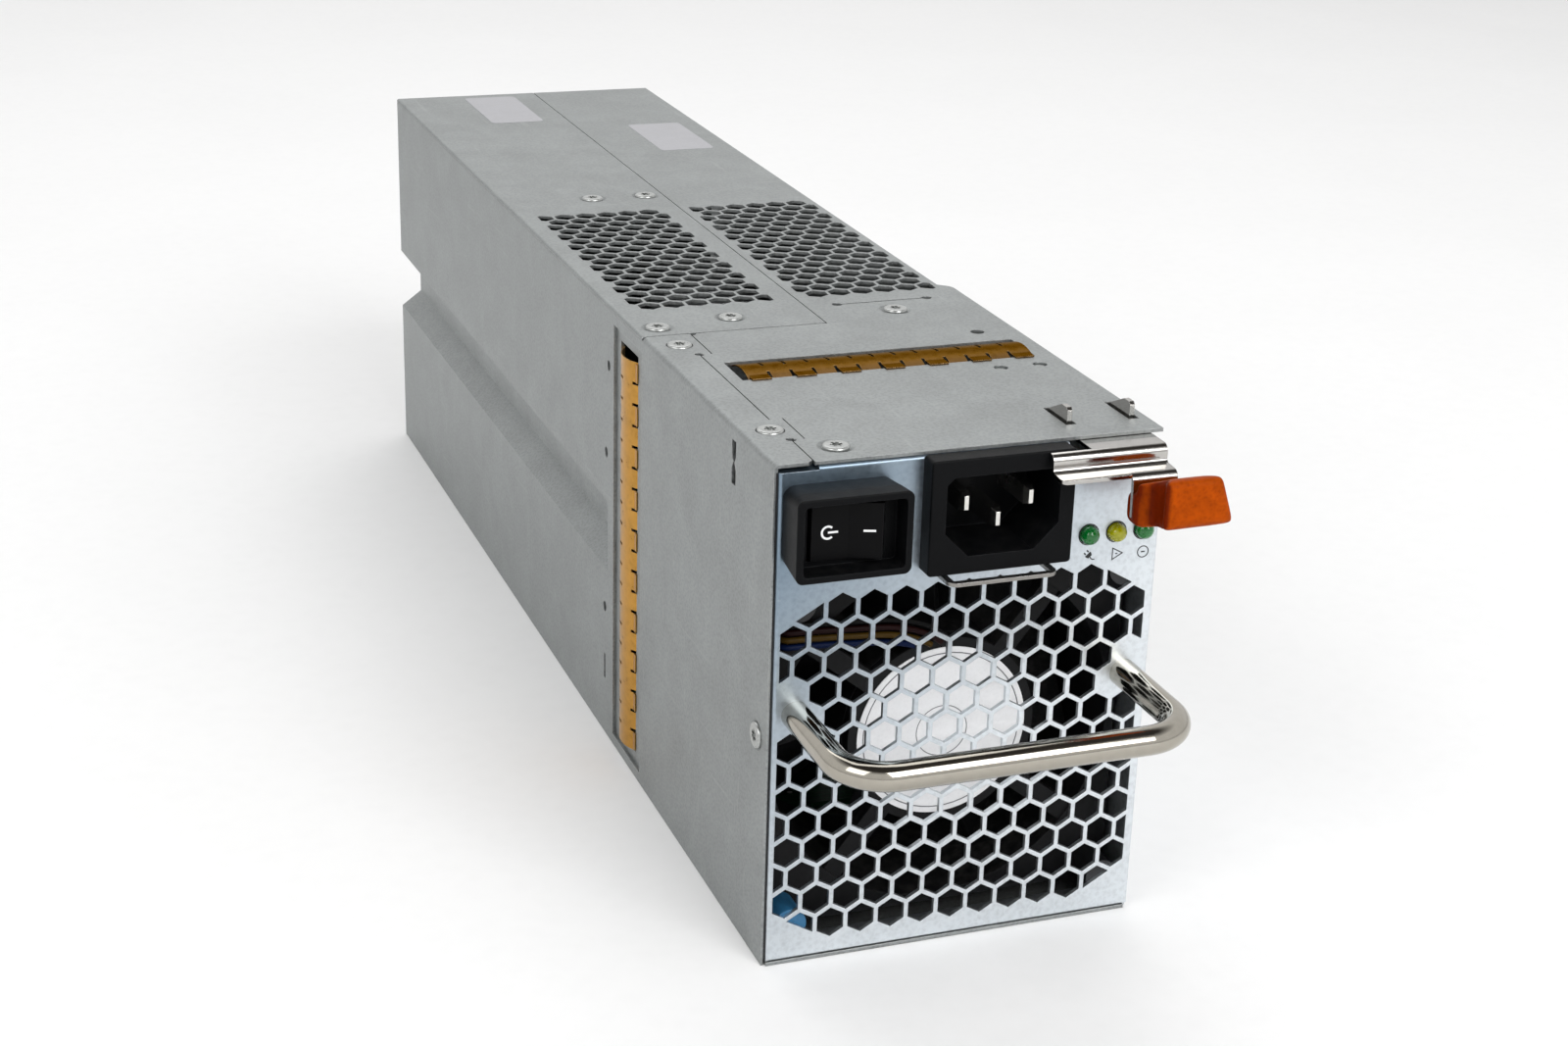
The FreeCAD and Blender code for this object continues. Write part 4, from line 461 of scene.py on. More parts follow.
def printed(name, shapes, node, view, centre, thickness, material, body):
    """Thin printed shapes laid on a node's surface. Shapes are polygons in millimetres around centre."""
    facing, across, up = view
    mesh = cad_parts[node].data
    tree = BVHTree.FromPolygons([v.co for v in mesh.vertices], [p.vertices for p in mesh.polygons])
    work = bmesh.new()
    for shape in shapes:
        tops, feet = [], []
        for u, v in shape:
            start = centre + across * u * MM + up * v * MM + facing * 20 * MM
            hit, _, _, _ = tree.ray_cast(start, -facing)
            if hit is None:
                raise RuntimeError(f"{name}: a printed mark misses {node}")
            tops.append(work.verts.new(hit + facing * thickness))
            feet.append(work.verts.new(hit - facing * thickness))
        count = len(tops)
        work.faces.new(tops)
        work.faces.new(feet[::-1])
        for k in range(count):
            work.faces.new((tops[k], feet[k], feet[(k + 1) % count], tops[(k + 1) % count]))
    bmesh.ops.remove_doubles(work, verts=work.verts, dist=1e-7)
    return new_piece(name, work, material, body)


def front_mark(name, shapes, node, centre, material, body="chassis"):
    """A printed mark seen from the front."""
    height = bpy.context.scene.psu_fittings.mark_height
    return printed(name, shapes, node, FRONT_VIEW, centre, height, material, body)


def tube_mesh(name, points, radius, smooth=True, sides=3):
    """A mesh tube along points: a smooth spline through its control points, or straight runs."""
    curve = bpy.data.curves.new(name, "CURVE")
    curve.dimensions = "3D"
    curve.bevel_depth = radius
    curve.bevel_resolution = sides
    curve.use_fill_caps = True
    spline = curve.splines.new("NURBS" if smooth else "POLY")
    spline.points.add(len(points) - 1)
    for point, place_at in zip(spline.points, points):
        point.co = (*place_at, 1.0)
    if smooth:
        spline.order_u = 3
        spline.use_endpoint_u = True
        curve.resolution_u = 8
    holder = bpy.data.objects.new(name, curve)
    mesh = bpy.data.meshes.new_from_object(holder)
    bpy.data.objects.remove(holder)
    return mesh


# ---- finishes that several pieces share ----

def steel():
    case = bpy.context.scene.psu_case
    return surface("zinc sheet", case.steel, 0.46, metallic=0.92, size=case.grain / MM,
                   cloud=case.spangle / MM, mottle=0.38, contrast=0.27, bump=0.22, gloss_change=0.14,
                   wear=case.wear, worn=(0.62, 0.63, 0.63), wear_width=0.35, scratches=0.10, dust=0.06,
                   edge=0.25)


def front_zinc():
    case = bpy.context.scene.psu_case

    def painted_reflection_tones(tree):
        """Painted reflection: darker, bluer zinc towards the plate's upper left, where it mirrors the dim
        surroundings.
        """
        point = object_point(tree)
        across = times(tree, along(tree, point, "X"), 1 / (90 * MM))
        height = times(tree, along(tree, point, "Z"), -1 / (100 * MM))
        share = ramped(tree, plus(tree, across, height), -1.35, -0.35)
        return mixed(tree, share, (0.19, 0.25, 0.31), tuple(case.plate))

    return surface("front plate zinc", case.plate, 0.34, metallic=0.95, size=0.9, cloud=20.0, mottle=0.3,
                   contrast=0.13, bump=0.10, gloss_change=0.10, paint=painted_reflection_tones, wear=case.wear,
                   worn=(0.72, 0.74, 0.75), wear_width=0.25, scratches=0.08, edge=0.2)


def black_plastic():
    fittings = bpy.context.scene.psu_fittings
    return surface("black moulded plastic", fittings.plastic, 0.42, size=0.35, cloud=9.0, contrast=0.25,
                   bump=0.2, gloss_change=0.1, wear=0.4, worn=(0.05, 0.052, 0.056), dust=0.02, edge=0.35,
                   Specular_IOR_Level=0.07)


def aluminium():
    inside = bpy.context.scene.psu_inside
    return surface("bare aluminium", inside.aluminium, 0.36, metallic=1.0, size=0.8, contrast=0.12,
                   bump=0.06, scratches=0.1, edge=0.15)


def ink():
    # Also paints the shadow rings round the lenses, as painted shadow.
    fittings = bpy.context.scene.psu_fittings
    return surface("dark ink", fittings.print_ink, 0.55, size=0.2, contrast=0.25, bump=0.05, edge=0)


def copper_wire():
    inside = bpy.context.scene.psu_inside
    return surface("enamelled copper", inside.copper, 0.26, metallic=0.9, size=0.9, contrast=0.2,
                   bump=0.04, edge=0, Coat_Weight=0.5)


# ---- operators ----

class PSU_OT_case_sheets(bpy.types.Operator):
    """Plated steel on the folded case sheets"""
    bl_idname = "psu.case_sheets"
    bl_label = "Case sheets"

    def execute(self, context):
        dress(steel(), "base_tray", "left_side_panel", "top_cover_left", "top_cover_right", "rear_panel",
              "gasket_carrier", "latch_mount")
        dress(front_zinc(), "front_panel")
        return {"FINISHED"}


class PSU_OT_cover_patches(bpy.types.Operator):
    """Two bare paper patches near the rear of the top covers"""
    bl_idname = "psu.cover_patches"
    bl_label = "Cover patches"

    def execute(self, context):
        paper = surface("matt paper patch", context.scene.psu_case.patch, 0.6, size=0.5, cloud=6.0,
                        contrast=0.08, bump=0.05, dust=0.2, edge=0)
        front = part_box("front_panel")[0].y
        corner, thickness = 1.5, 0.06 * MM
        for name, node, x0, x1, y0, y1 in (("left", "top_cover_left", -21.7, -5.9, 308, 345),
                                           ("right", "top_cover_right", 17, 33, 262, 297)):
            centre = Vector(((x0 + x1) / 2 * MM, front + (y0 + y1) / 2 * MM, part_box(node)[1].z))
            half_x, half_y = (x1 - x0) / 2, (y1 - y0) / 2
            shape = rounded_outline(-half_x, half_x, -half_y, half_y, corner, 5)
            printed(f"cover_patch_{name}", [shape], node, TOP_VIEW, centre, thickness, paper, "chassis")
        return {"FINISHED"}


class PSU_OT_fasteners(bpy.types.Operator):
    """Plated screws, rivets, pins and posts"""
    bl_idname = "psu.fasteners"
    bl_label = "Fasteners"

    def execute(self, context):
        case = context.scene.psu_case
        plated = surface("plated screws", case.screws, 0.30, metallic=1.0, size=0.4, cloud=3.0,
                         contrast=0.18, bump=0.06, wear=0.5, worn=(0.75, 0.75, 0.74), wear_width=0.15,
                         edge=0.12)
        dress(plated, "cover_screws", "side_screws", "handle_screws", "latch_rivets", "rocker_pin",
              "fan_shaft", "board_screws")
        brass = surface("turned brass", (0.58, 0.42, 0.16), 0.3, metallic=1.0, size=0.5, contrast=0.15,
                        bump=0.04, edge=0.1)
        dress(brass, "board_standoffs")
        return {"FINISHED"}


class PSU_OT_gaskets(bpy.types.Operator):
    """Spring finger gaskets and the foam cord at the front plate's edge"""
    bl_idname = "psu.gaskets"
    bl_label = "Gaskets"

    def execute(self, context):
        fittings = context.scene.psu_fittings
        gold = surface("gold finger gasket", fittings.gold, 0.30, metallic=1.0, size=1.2, cloud=5.0,
                       contrast=0.2, bump=0.04, wear=0.4, worn=(0.85, 0.60, 0.25), wear_width=0.2, edge=0.12)
        brown = surface("copper finger gasket", fittings.copper, 0.27, metallic=1.0, size=1.2, cloud=4.0,
                        contrast=0.3, bump=0.04, wear=0.5, worn=(0.66, 0.43, 0.20), wear_width=0.25,
                        edge=0.15, Specular_Tint=(0.62, 0.46, 0.29, 1.0))
        foam = surface("black foam", (0.02, 0.02, 0.021), 0.9, size=0.5, contrast=0.4, bump=0.8, edge=0.3)
        dress(gold, "side_gasket")
        dress(brown, "top_gasket")
        dress(foam, "edge_gasket")
        return {"FINISHED"}


class PSU_OT_handle(bpy.types.Operator):
    """Polished handle and the mains cord's retaining loop"""
    bl_idname = "psu.handle"
    bl_label = "Handle and loop"

    def execute(self, context):
        fittings = context.scene.psu_fittings
        nickel = surface("polished nickel", fittings.handle, 0.10, metallic=1.0, size=1.6, cloud=16.0,
                         contrast=0.06, bump=0.02, gloss_change=0.05, scratches=0.08,
                         worn=(0.5, 0.48, 0.44), edge=0)
        dull = surface("dull nickel", fittings.loop, 0.28, metallic=1.0, size=0.9, cloud=8.0, contrast=0.15,
                       bump=0.03, wear=0.4, wear_width=0.2, edge=0.15)
        dress(nickel, "handle")
        dress(dull, "cord_retainer_loop")
        return {"FINISHED"}


class PSU_OT_latch(bpy.types.Operator):
    """Mirror-bright latch spring and its soft orange grip"""
    bl_idname = "psu.latch"
    bl_label = "Latch"

    def execute(self, context):
        fittings = context.scene.psu_fittings
        spring = surface("bright spring nickel", fittings.latch, 0.10, metallic=1.0, size=1.4, cloud=18.0,
                         contrast=0.06, bump=0.015, gloss_change=0.06, scratches=0.12,
                         worn=(0.5, 0.48, 0.46), edge=0.15)

        def painted_left_shade(tree):
            """Painted shade: darker rubber on the faces that look to the left, where the left end lies in
            shade.
            """
            left = times(tree, along(tree, true_normal(tree), "X"), -1.0)
            return mixed(tree, ramped(tree, left, 0.2, 0.65), tuple(fittings.grip), (0.11, 0.010, 0.0005))

        grip = surface("soft orange sleeve", fittings.grip, 0.45, size=0.6, cloud=3.5, mottle=0.6,
                       contrast=0.34, bump=0.14, gloss_change=0.16, paint=painted_left_shade, wear=0.35,
                       worn=(0.48, 0.115, 0.004), wear_width=0.6, edge=0.5, Subsurface_Weight=0.06,
                       Subsurface_Radius=(0.6, 0.10, 0.02), Subsurface_Scale=1.5 * MM,
                       Specular_IOR_Level=0.035)
        dress(spring, "latch_leaf")
        self.sleeve(grip)
        return {"FINISHED"}

    def sleeve(self, material):
        """The grip as soft rubber: the moulding's corners melted round, its left end dished behind a rim."""
        neck_length, left_part = 4.9 * MM, 9 * MM
        rim, slope, dish = 0.6 * MM, 4.5 * MM, 2.2 * MM
        stretch = 1.045
        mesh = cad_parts["latch_grip"].data.copy()
        mesh.materials.clear()
        low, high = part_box("latch_grip")
        for vert in mesh.vertices:
            away = high.x - vert.co.x
            depth = (vert.co.y - low.y - rim) / slope
            if vert.co.y < high.y - neck_length and away > left_part:
                away -= dish * min(max(depth, 0.0), 1.0)
            vert.co.x = high.x - away * stretch
        made = new_piece("latch_grip_sleeve", mesh, material, "latch", ("latch_grip",))
        remesh = made.modifiers.new("Skin", "REMESH")
        remesh.mode = "VOXEL"
        remesh.voxel_size = 0.35 * MM
        remesh.use_smooth_shade = True
        melt = made.modifiers.new("Melt", "SMOOTH")
        melt.factor = 0.5
        melt.iterations = 55


class PSU_OT_switch(bpy.types.Operator):
    """Guarded rocker switch with its two white marks"""
    bl_idname = "psu.switch"
    bl_label = "Rocker switch"

    def execute(self, context):
        fittings = context.scene.psu_fittings
        dress(black_plastic(), "switch_bezel", "switch_body")
        satin = surface("rocker plastic", fittings.rocker, 0.36, size=0.3, cloud=5.0, contrast=0.2,
                        bump=0.08, gloss_change=0.06, wear=0.3, worn=(0.05, 0.05, 0.055),
                        Specular_IOR_Level=0.07)
        dress(satin, "rocker")
        white = surface("white rocker print", fittings.marks, 0.5, size=0.2, contrast=0.08, bump=0.05,
                        edge=0)
        line = 0.42
        standby = (-4.1, 0)
        shapes = [*stroke(arc(standby, 1.25, 48, 312, 22), line), *stroke([standby, (-2.0, 0)], line),
                  *stroke([(2.9, 0), (5.2, 0)], line)]
        front_mark("rocker_marks", shapes, "rocker", front_middle("rocker"), white, "rocker")
        return {"FINISHED"}


class PSU_OT_inlet(bpy.types.Operator):
    """Mains inlet and its three blades"""
    bl_idname = "psu.inlet"
    bl_label = "Mains inlet"

    def execute(self, context):
        dress(black_plastic(), "inlet_housing")
        blades = surface("tinned blades", (0.66, 0.65, 0.62), 0.22, metallic=1.0, size=0.6, contrast=0.1,
                         bump=0.03, scratches=0.1, edge=0.2)
        dress(blades, "inlet_pins")
        return {"FINISHED"}


class PSU_OT_lights(bpy.types.Operator):
    """Three light pipes, the ink rings of painted shadow round them and the printed signs under them"""
    bl_idname = "psu.lights"
    bl_label = "Indicator lights"

    def execute(self, context):
        for label, colour, names in (("green", (0.003, 0.17, 0.025), ("input", "output")),
                                     ("amber", (0.42, 0.42, 0.001), ("fault",))):
            lens = surface(f"{label} lens", colour, 0.07, size=4.0, cloud=3.0, mottle=0.9, contrast=0.3,
                           bump=0.0, gloss_change=0.03, edge=0, Transmission_Weight=0.2, IOR=1.4,
                           Coat_Weight=0.6, Coat_Roughness=0.03)
            dress(lens, *[f"light_pipe_{name}" for name in names])
        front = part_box("front_panel")[0].y
        lights = {name: front_middle(f"light_pipe_{name}", front) for name in ("input", "fault", "output")}
        self.painted_gap_shadows(lights, front)
        self.signs(lights.values())
        return {"FINISHED"}

    def painted_gap_shadows(self, lights, front):
        """A thin ink ring round each lens: painted shadow of the gap between the lens and its hole."""
        for name, centre in lights.items():
            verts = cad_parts[f"light_pipe_{name}"].data.vertices
            dome = [v.co - centre for v in verts if v.co.y < front]
            radius = max(math.hypot(p.x, p.z) for p in dome) / MM
            rim = ring_stroke(radius + 0.27, 0.24, 31)
            front_mark(f"lens_gap_shadow_{name}", rim, "front_panel", centre, ink())

    def signs(self, lights):
        """A plug, a triangle and a ring, one under each light."""
        line = 0.22
        triangle = (stroke([(-1.05, 1.25), (1.2, 0), (-1.05, -1.25)], line, closed=True)
                    + stroke([(-0.4, 0), (0.1, 0)], line))
        ring = ring_stroke(1.22, line, 31) + stroke([(-0.42, 0), (0.42, 0)], line * 1.3)
        drawn = (("plug", self.plug(line), (0.35, -4.6)), ("triangle", triangle, (0.57, -4.85)),
                 ("ring", ring, (0.3, -5.1)))
        for light, (name, shapes, (u, v)) in zip(lights, drawn):
            centre = light + Vector((u * MM, 0, v * MM))
            front_mark(f"sign_{name}", shapes, "front_panel", centre, ink())

    def plug(self, line):
        """A tilted plug with two prongs and a curl of cord."""
        tilt = Matrix.Rotation(math.radians(42), 2)
        prongs = [((x - 0.16, 0.62), (x + 0.16, 0.62), (x + 0.16, 1.2), (x - 0.16, 1.2))
                  for x in (-0.4, 0.4)]
        body = ((-0.75, 0.42), (-0.75, 0.1), (-0.5, -0.45), (0.5, -0.45), (0.75, 0.1), (0.75, 0.42))
        tail = stroke([(0.25, -0.35), (0.55, -0.8), (0.95, -0.98), (1.35, -0.95)], line)
        return [*[[tuple(tilt @ Vector(p)) for p in shape] for shape in (*prongs, body)], *tail]


class PSU_OT_fan(bpy.types.Operator):
    """Fan frame, rotor, coils, mounting pins and the bare hub label"""
    bl_idname = "psu.fan"
    bl_label = "Fan"

    def execute(self, context):
        inside = context.scene.psu_inside
        plastic = surface("fan plastic", inside.fan, 0.45, size=0.4, cloud=7.0, contrast=0.25, bump=0.15,
                          dust=0.08, wear=0.2, worn=(0.05, 0.05, 0.05), Specular_IOR_Level=0.2)
        film = surface("white label film", (0.86, 0.86, 0.87), 0.42, size=0.6, cloud=9.0, contrast=0.05,
                       bump=0.04, edge=0, Coat_Weight=0.2)
        blue = (0.02, 0.12, 0.24)

        def pin_painted_shade(tree):
            """A blue pin at the lower left; the other pins are painted black, as painted shade inside the
            case.
            """
            point = object_point(tree)
            right = ramped(tree, along(tree, point, "X"), -1 * MM, 1 * MM)
            upper = ramped(tree, along(tree, point, "Z"), 40 * MM, 42 * MM)
            return mixed(tree, calculate(tree, "MAXIMUM", right, upper), blue, (0.005, 0.005, 0.006))

        pins = surface("soft silicone", blue, 0.4, size=0.6, bump=0.1, paint=pin_painted_shade,
                       Subsurface_Weight=0.1, Subsurface_Scale=1.5 * MM)
        dress(plastic, "fan_frame", "fan_rotor")
        dress(copper_wire(), "fan_stator")
        dress(film, "fan_label")
        dress(pins, "fan_mount_pins")
        self.rings()
        return {"FINISHED"}

    def rings(self):
        """Two thin printed rings on the label."""
        low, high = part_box("fan_label")
        radius = (high.x - low.x) / 2 / MM
        grey = surface("grey label print", (0.16, 0.16, 0.17), 0.5, size=0.3, bump=0.03, edge=0)
        shapes = ring_stroke(radius * 0.93, 0.25, 59) + ring_stroke(radius * 0.30, 0.2, 59)
        front_mark("fan_label_rings", shapes, "fan_label", front_middle("fan_label"), grey)


class PSU_OT_fan_leads(bpy.types.Operator):
    """The fan's four coloured leads, from its hub through the frame's notches to the board"""
    bl_idname = "psu.fan_leads"
    bl_label = "Fan leads"

    def execute(self, context):
        # Painted shade: each lead's colour is darkened far below its own blue, yellow and red, for the dim
        # inside of the case.
        colours = (("blue", (0.002, 0.008, 0.04)), ("yellow", (0.055, 0.030, 0.003)),
                   ("red", (0.012, 0.002, 0.002)), ("black", (0.003, 0.003, 0.003)))
        for k, (name, colour) in enumerate(colours):
            sleeve = surface(f"{name} lead sleeve", colour, 0.45, size=0.5, contrast=0.12, bump=0.08, edge=0,
                             Specular_IOR_Level=0.12)
            mesh = tube_mesh(f"fan_lead_{name}", self.route(k), 0.65 * MM)
            new_piece(f"fan_lead_{name}", mesh, sleeve, "chassis",
                      ("fan_lead",) if not k else ())
        return {"FINISHED"}

    def route(self, k):
        """The path of lead number k: hub, frame's notch, then down behind the fan to the board."""
        notch_depth, run_inset, lead_height, pitch = 5.0, 1.6, 23.9, 1.6
        low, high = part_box("fan_frame")
        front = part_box("front_panel")[0].y
        fan_z = (low.z + high.z) / 2 / MM
        board_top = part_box("main_board")[1].z / MM
        notch_x = low.x / MM + notch_depth
        run_x = notch_x - run_inset
        y = (low.y - front) / MM - 1.2
        z = fan_z + lead_height + pitch * k
        drop_x = notch_x + 2 + 1.8 * k
        drop_y = (high.y - front) / MM + 3 + 1.7 * k
        points = [(-6.0 + 2.3 * k, y + 1, fan_z + 20 + 0.3 * k), (-10.0 + 1.67 * k, y + 0.5, z - 1.9),
                  (-25, y - 0.3, z - 0.3), (notch_x + 1.4, y - 0.1, z), (run_x, y, z),
                  (run_x - 0.1, y + 4, z), (run_x, drop_y, z), (run_x + 0.2, drop_y + 0.6, z - 4),
                  (drop_x, drop_y + 2, board_top + 24), (drop_x + 0.1, drop_y + 3, board_top)]
        return [(px * MM, front + py * MM, pz * MM) for px, py, pz in points]


class PSU_OT_boards(bpy.types.Operator):
    """Circuit boards and the insulating sheet under them"""
    bl_idname = "psu.boards"
    bl_label = "Boards"

    def execute(self, context):
        inside = context.scene.psu_inside

        def mask(tree):
            """Solder mask with lighter tracks under it and tinned pads."""
            where = place(tree)
            tracks = add_node(tree, "TexBrick", {"Vector": where, "Scale": 0.12, "Mortar Size": 0.012,
                                                 "Brick Width": 0.7, "Row Height": 0.22})
            pads = add_node(tree, "TexVoronoi", {"Vector": where, "Scale": 0.22}).outputs["Distance"]
            lighter = tuple(2.2 * c for c in inside.board)
            track = mixed(tree, tracks.outputs["Fac"], tuple(inside.board), lighter)
            return mixed(tree, ramped(tree, pads, 0.16, 0.13), track, (0.5, 0.5, 0.48))

        board = surface("board", inside.board, 0.32, size=0.6, dust=0.15, paint=mask, edge=0,
                        Coat_Weight=0.3)
        dress(board, "main_board", "control_board", "light_board")
        sheet = surface("insulating sheet", (0.55, 0.52, 0.44), 0.3, size=0.8, contrast=0.08, bump=0.03,
                        edge=0, Transmission_Weight=0.2)
        dress(sheet, "insulator_sheet")
        return {"FINISHED"}


class PSU_OT_capacitors(bpy.types.Operator):
    """Sleeved capacitor cans with scored aluminium tops, and the box capacitors"""
    bl_idname = "psu.capacitors"
    bl_label = "Capacitors"

    def execute(self, context):
        inside = context.scene.psu_inside
        sleeve = surface("capacitor sleeve", inside.sleeve, 0.24, size=0.9, bump=0.05, dust=0.15,
                         Coat_Weight=0.4)
        dress(sleeve, "bulk_capacitors", "output_capacitors")
        case = surface("box capacitor", (0.55, 0.36, 0.03), 0.4, size=0.6, contrast=0.1, dust=0.1, edge=0.4)
        dress(case, "x_capacitors")
        for node in ("bulk_capacitors", "output_capacitors"):
            work = bmesh.new()
            for box in solids(node):
                self.top(work, box)
            new_piece(f"{node}_tops", work, aluminium(), "chassis")
        return {"FINISHED"}

    def top(self, work, box):
        """Three raised sectors of the scored top, parted by its relief grooves."""
        centre = middle(box).to_2d()
        radius = (box[1].x - box[0].x) / 2 * 0.8
        groove = radius * 0.05
        profile = ((0.0, -0.1), (0.0, 0.12), (0.04, 0.2))    # share drawn in, millimetres above the can
        for k in range(3):
            start = 90 + 120 * k
            bisector = math.radians(start + 60)
            way = Vector((math.cos(bisector), math.sin(bisector)))
            shift = way * groove / math.sin(math.radians(60))
            outline = [centre + shift, *arc(centre, radius, start + 4, start + 116, 14)]
            heart = centre + shift * 4
            skin(work, [[work.verts.new((*Vector(p).lerp(heart, inset), box[1].z + level * MM))
                         for p in outline] for inset, level in profile])


class PSU_OT_windings(bpy.types.Operator):
    """Ring chokes: a coated core under turns of enamelled wire"""
    bl_idname = "psu.windings"
    bl_label = "Ring chokes"

    def execute(self, context):
        inside = context.scene.psu_inside
        coated = surface("coated core", (0.03, 0.10, 0.06), 0.4, size=0.6, dust=0.1, edge=0.2)
        for node in ("filter_chokes", "pfc_choke", "output_chokes"):
            for k, box in enumerate(solids(node)):
                core = self.core(box, inside.wire)
                smooth_by_angle(new_piece(f"{node}_core_{k + 1}", core, coated, "chassis"), 50)
                path = self.turns(box, inside.turns, inside.wire)
                wire = tube_mesh("turns", path, inside.wire / 2, smooth=False, sides=1)
                new_piece(f"{node}_winding_{k + 1}", wire, copper_wire(), "chassis",
                          (node,) if k == 0 else ())
        return {"FINISHED"}

    def section(self, box, inset, angle):
        """A point of the ring's rounded section: its radius and its place along the axis."""
        outer = (box[1].z - box[0].z) / 2
        bore = outer * 0.44
        half_r = (outer - bore) / 2 - inset
        half_y = (box[1].y - box[0].y) / 2 - inset
        c, s = math.cos(angle), math.sin(angle)
        return ((outer + bore) / 2 + half_r * math.copysign(abs(c) ** 0.5, c),
                half_y * math.copysign(abs(s) ** 0.5, s))

    def core(self, box, wire):
        """The coated ring, a little inside the wire."""
        centre = middle(box)
        work = bmesh.new()
        around, across = 48, 16
        rings = []
        for i in range(around):
            turn = 2 * math.pi * i / around
            points = [self.section(box, wire * 1.02, 2 * math.pi * j / across) for j in range(across)]
            rings.append([work.verts.new(centre + Vector((r * math.cos(turn), y, r * math.sin(turn))))
                          for r, y in points])
        for i in range(around):
            a, b = rings[i], rings[(i + 1) % around]
            for j in range(across):
                work.faces.new((a[j], b[j], b[(j + 1) % across], a[(j + 1) % across]))
        return work

    def turns(self, box, count, wire):
        """The wire's path: count turns round the section while going most of the way round the ring."""
        centre = middle(box)
        steps = 14
        first, sweep = math.radians(-75), math.radians(330)
        points = []
        for k in range(count * steps + 1):
            turn = first + sweep * k / (count * steps)
            r, y = self.section(box, wire * 0.5, 2 * math.pi * k / steps)
            points.append(centre + Vector((r * math.cos(turn), y, r * math.sin(turn))))
        return points


class PSU_OT_transformers(bpy.types.Operator):
    """Ferrite cores in two halves around taped windings"""
    bl_idname = "psu.transformers"
    bl_label = "Transformers"

    def execute(self, context):
        ferrite = surface("ferrite", (0.035, 0.035, 0.038), 0.5, size=0.5, contrast=0.25, bump=0.2, dust=0.1,
                          edge=0.2)
        colour = tuple(context.scene.psu_inside.tape)

        def layers(tree):
            """Overlapping tape edges across the winding."""
            bands = add_node(tree, "TexWave", {"Vector": place(tree), "Scale": 0.16, "Distortion": 0.5},
                             bands_direction="Z")
            share = ramped(tree, bands.outputs["Fac"], 0.1, 0.3)
            return mixed(tree, share, tuple(0.75 * c for c in colour), colour)

        taped = surface("winding tape", colour, 0.3, size=0.8, contrast=0.1, paint=layers, edge=0.2,
                        Coat_Weight=0.3)
        for node, edge in (("main_transformer", 6.0), ("standby_transformer", 4.0)):
            low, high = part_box(node)
            self.core(node, low, high, edge, ferrite)
            self.winding(node, low, high, taped)
        return {"FINISHED"}

    def core(self, node, low, high, edge, material):
        """Two ferrite blocks that meet at a thin seam."""
        work = bmesh.new()
        seam = 0.15 * MM
        centre = (low + high) / 2
        for z0, z1 in ((low.z, centre.z - seam), (centre.z + seam, high.z)):
            size = (high.x - low.x, high.y - low.y - 2 * edge * MM, z1 - z0)
            place_at = Matrix.Translation((centre.x, centre.y, (z0 + z1) / 2))
            bmesh.ops.create_cube(work, size=1, matrix=place_at @ Matrix.Diagonal((*size, 1)))
        bmesh.ops.bevel(work, geom=work.edges[:], offset=0.5 * MM, segments=3, profile=0.5, affect="EDGES")
        smooth_by_angle(new_piece(f"{node}_core", work, material, "chassis", (node,)), 50)

    def winding(self, node, low, high, material):
        """A barrel whose sides swell a little between its flanges."""
        work = bmesh.new()
        side, end, corner = 3 * MM, 4 * MM, 5 * MM
        bulge, ridge = 0.8 * MM, 0.12 * MM
        z0, z1 = low.z + end, high.z - end
        rings = []
        rows = 9
        for k in range(rows):
            share = k / (rows - 1)
            swell = bulge * (math.sin(math.pi * share) - 1) + ridge * (k % 2)
            outline = rounded_outline(low.x + side - swell, high.x - side + swell, low.y - swell,
                                      high.y + swell, corner, 6)
            rings.append([work.verts.new((*p, z0 + (z1 - z0) * share)) for p in outline])
        skin(work, rings)
        smooth_by_angle(new_piece(f"{node}_winding", work, material, "chassis"), 40)


class PSU_OT_heatsinks(bpy.types.Operator):
    """Finned heatsinks and the cartridge fuse"""
    bl_idname = "psu.heatsinks"
    bl_label = "Heatsinks and fuse"

    def execute(self, context):
        dress(aluminium(), "primary_heatsink", "rectifier_heatsink")
        body = surface("fuse body", (0.62, 0.60, 0.54), 0.25, size=0.5, contrast=0.1, bump=0.04, edge=0.2)
        dress(body, "fuse_link")
        return {"FINISHED"}


class PSU_OT_air_guide(bpy.types.Operator):
    """A black film hung from the rear covers, which turns the air down over the output parts"""
    bl_idname = "psu.air_guide"
    bl_label = "Air guide"

    def execute(self, context):
        film = surface("black film", (0.012, 0.012, 0.013), 0.32, size=1.0, cloud=12.0, contrast=0.2,
                       bump=0.05, dust=0.1, edge=0)
        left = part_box("left_side_panel")[1].x + 0.4 * MM
        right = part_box("rear_panel")[1].x - 1.2 * MM
        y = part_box("rectifier_heatsink")[1].y + 2 * MM
        bottom = 34 * MM
        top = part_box("top_cover_left")[1].z - 0.85 * MM
        wave_top, wave_height = 60 * MM, 0.25 * MM
        profile = [(0, bottom), (0, top - 1.2 * MM), (0.4 * MM, top - 0.35 * MM), (1.2 * MM, top),
                   (9 * MM, top)]
        work = bmesh.new()
        columns = 24
        rows = []
        for k in range(columns + 1):
            x = left + (right - left) * k / columns
            wave = wave_height * math.sin(2.3 * math.pi * k / columns)
            rows.append([work.verts.new((x, y + dy + wave * (z < wave_top), z)) for dy, z in profile])
        for a, b in zip(rows, rows[1:]):
            for m in range(len(profile) - 1):
                work.faces.new((a[m], b[m], b[m + 1], a[m + 1]))
        made = new_piece("air_guide_film", work, film, "chassis")
        solid = made.modifiers.new("Thickness", "SOLIDIFY")
        solid.thickness = 0.25 * MM
        solid.offset = -1
        return {"FINISHED"}


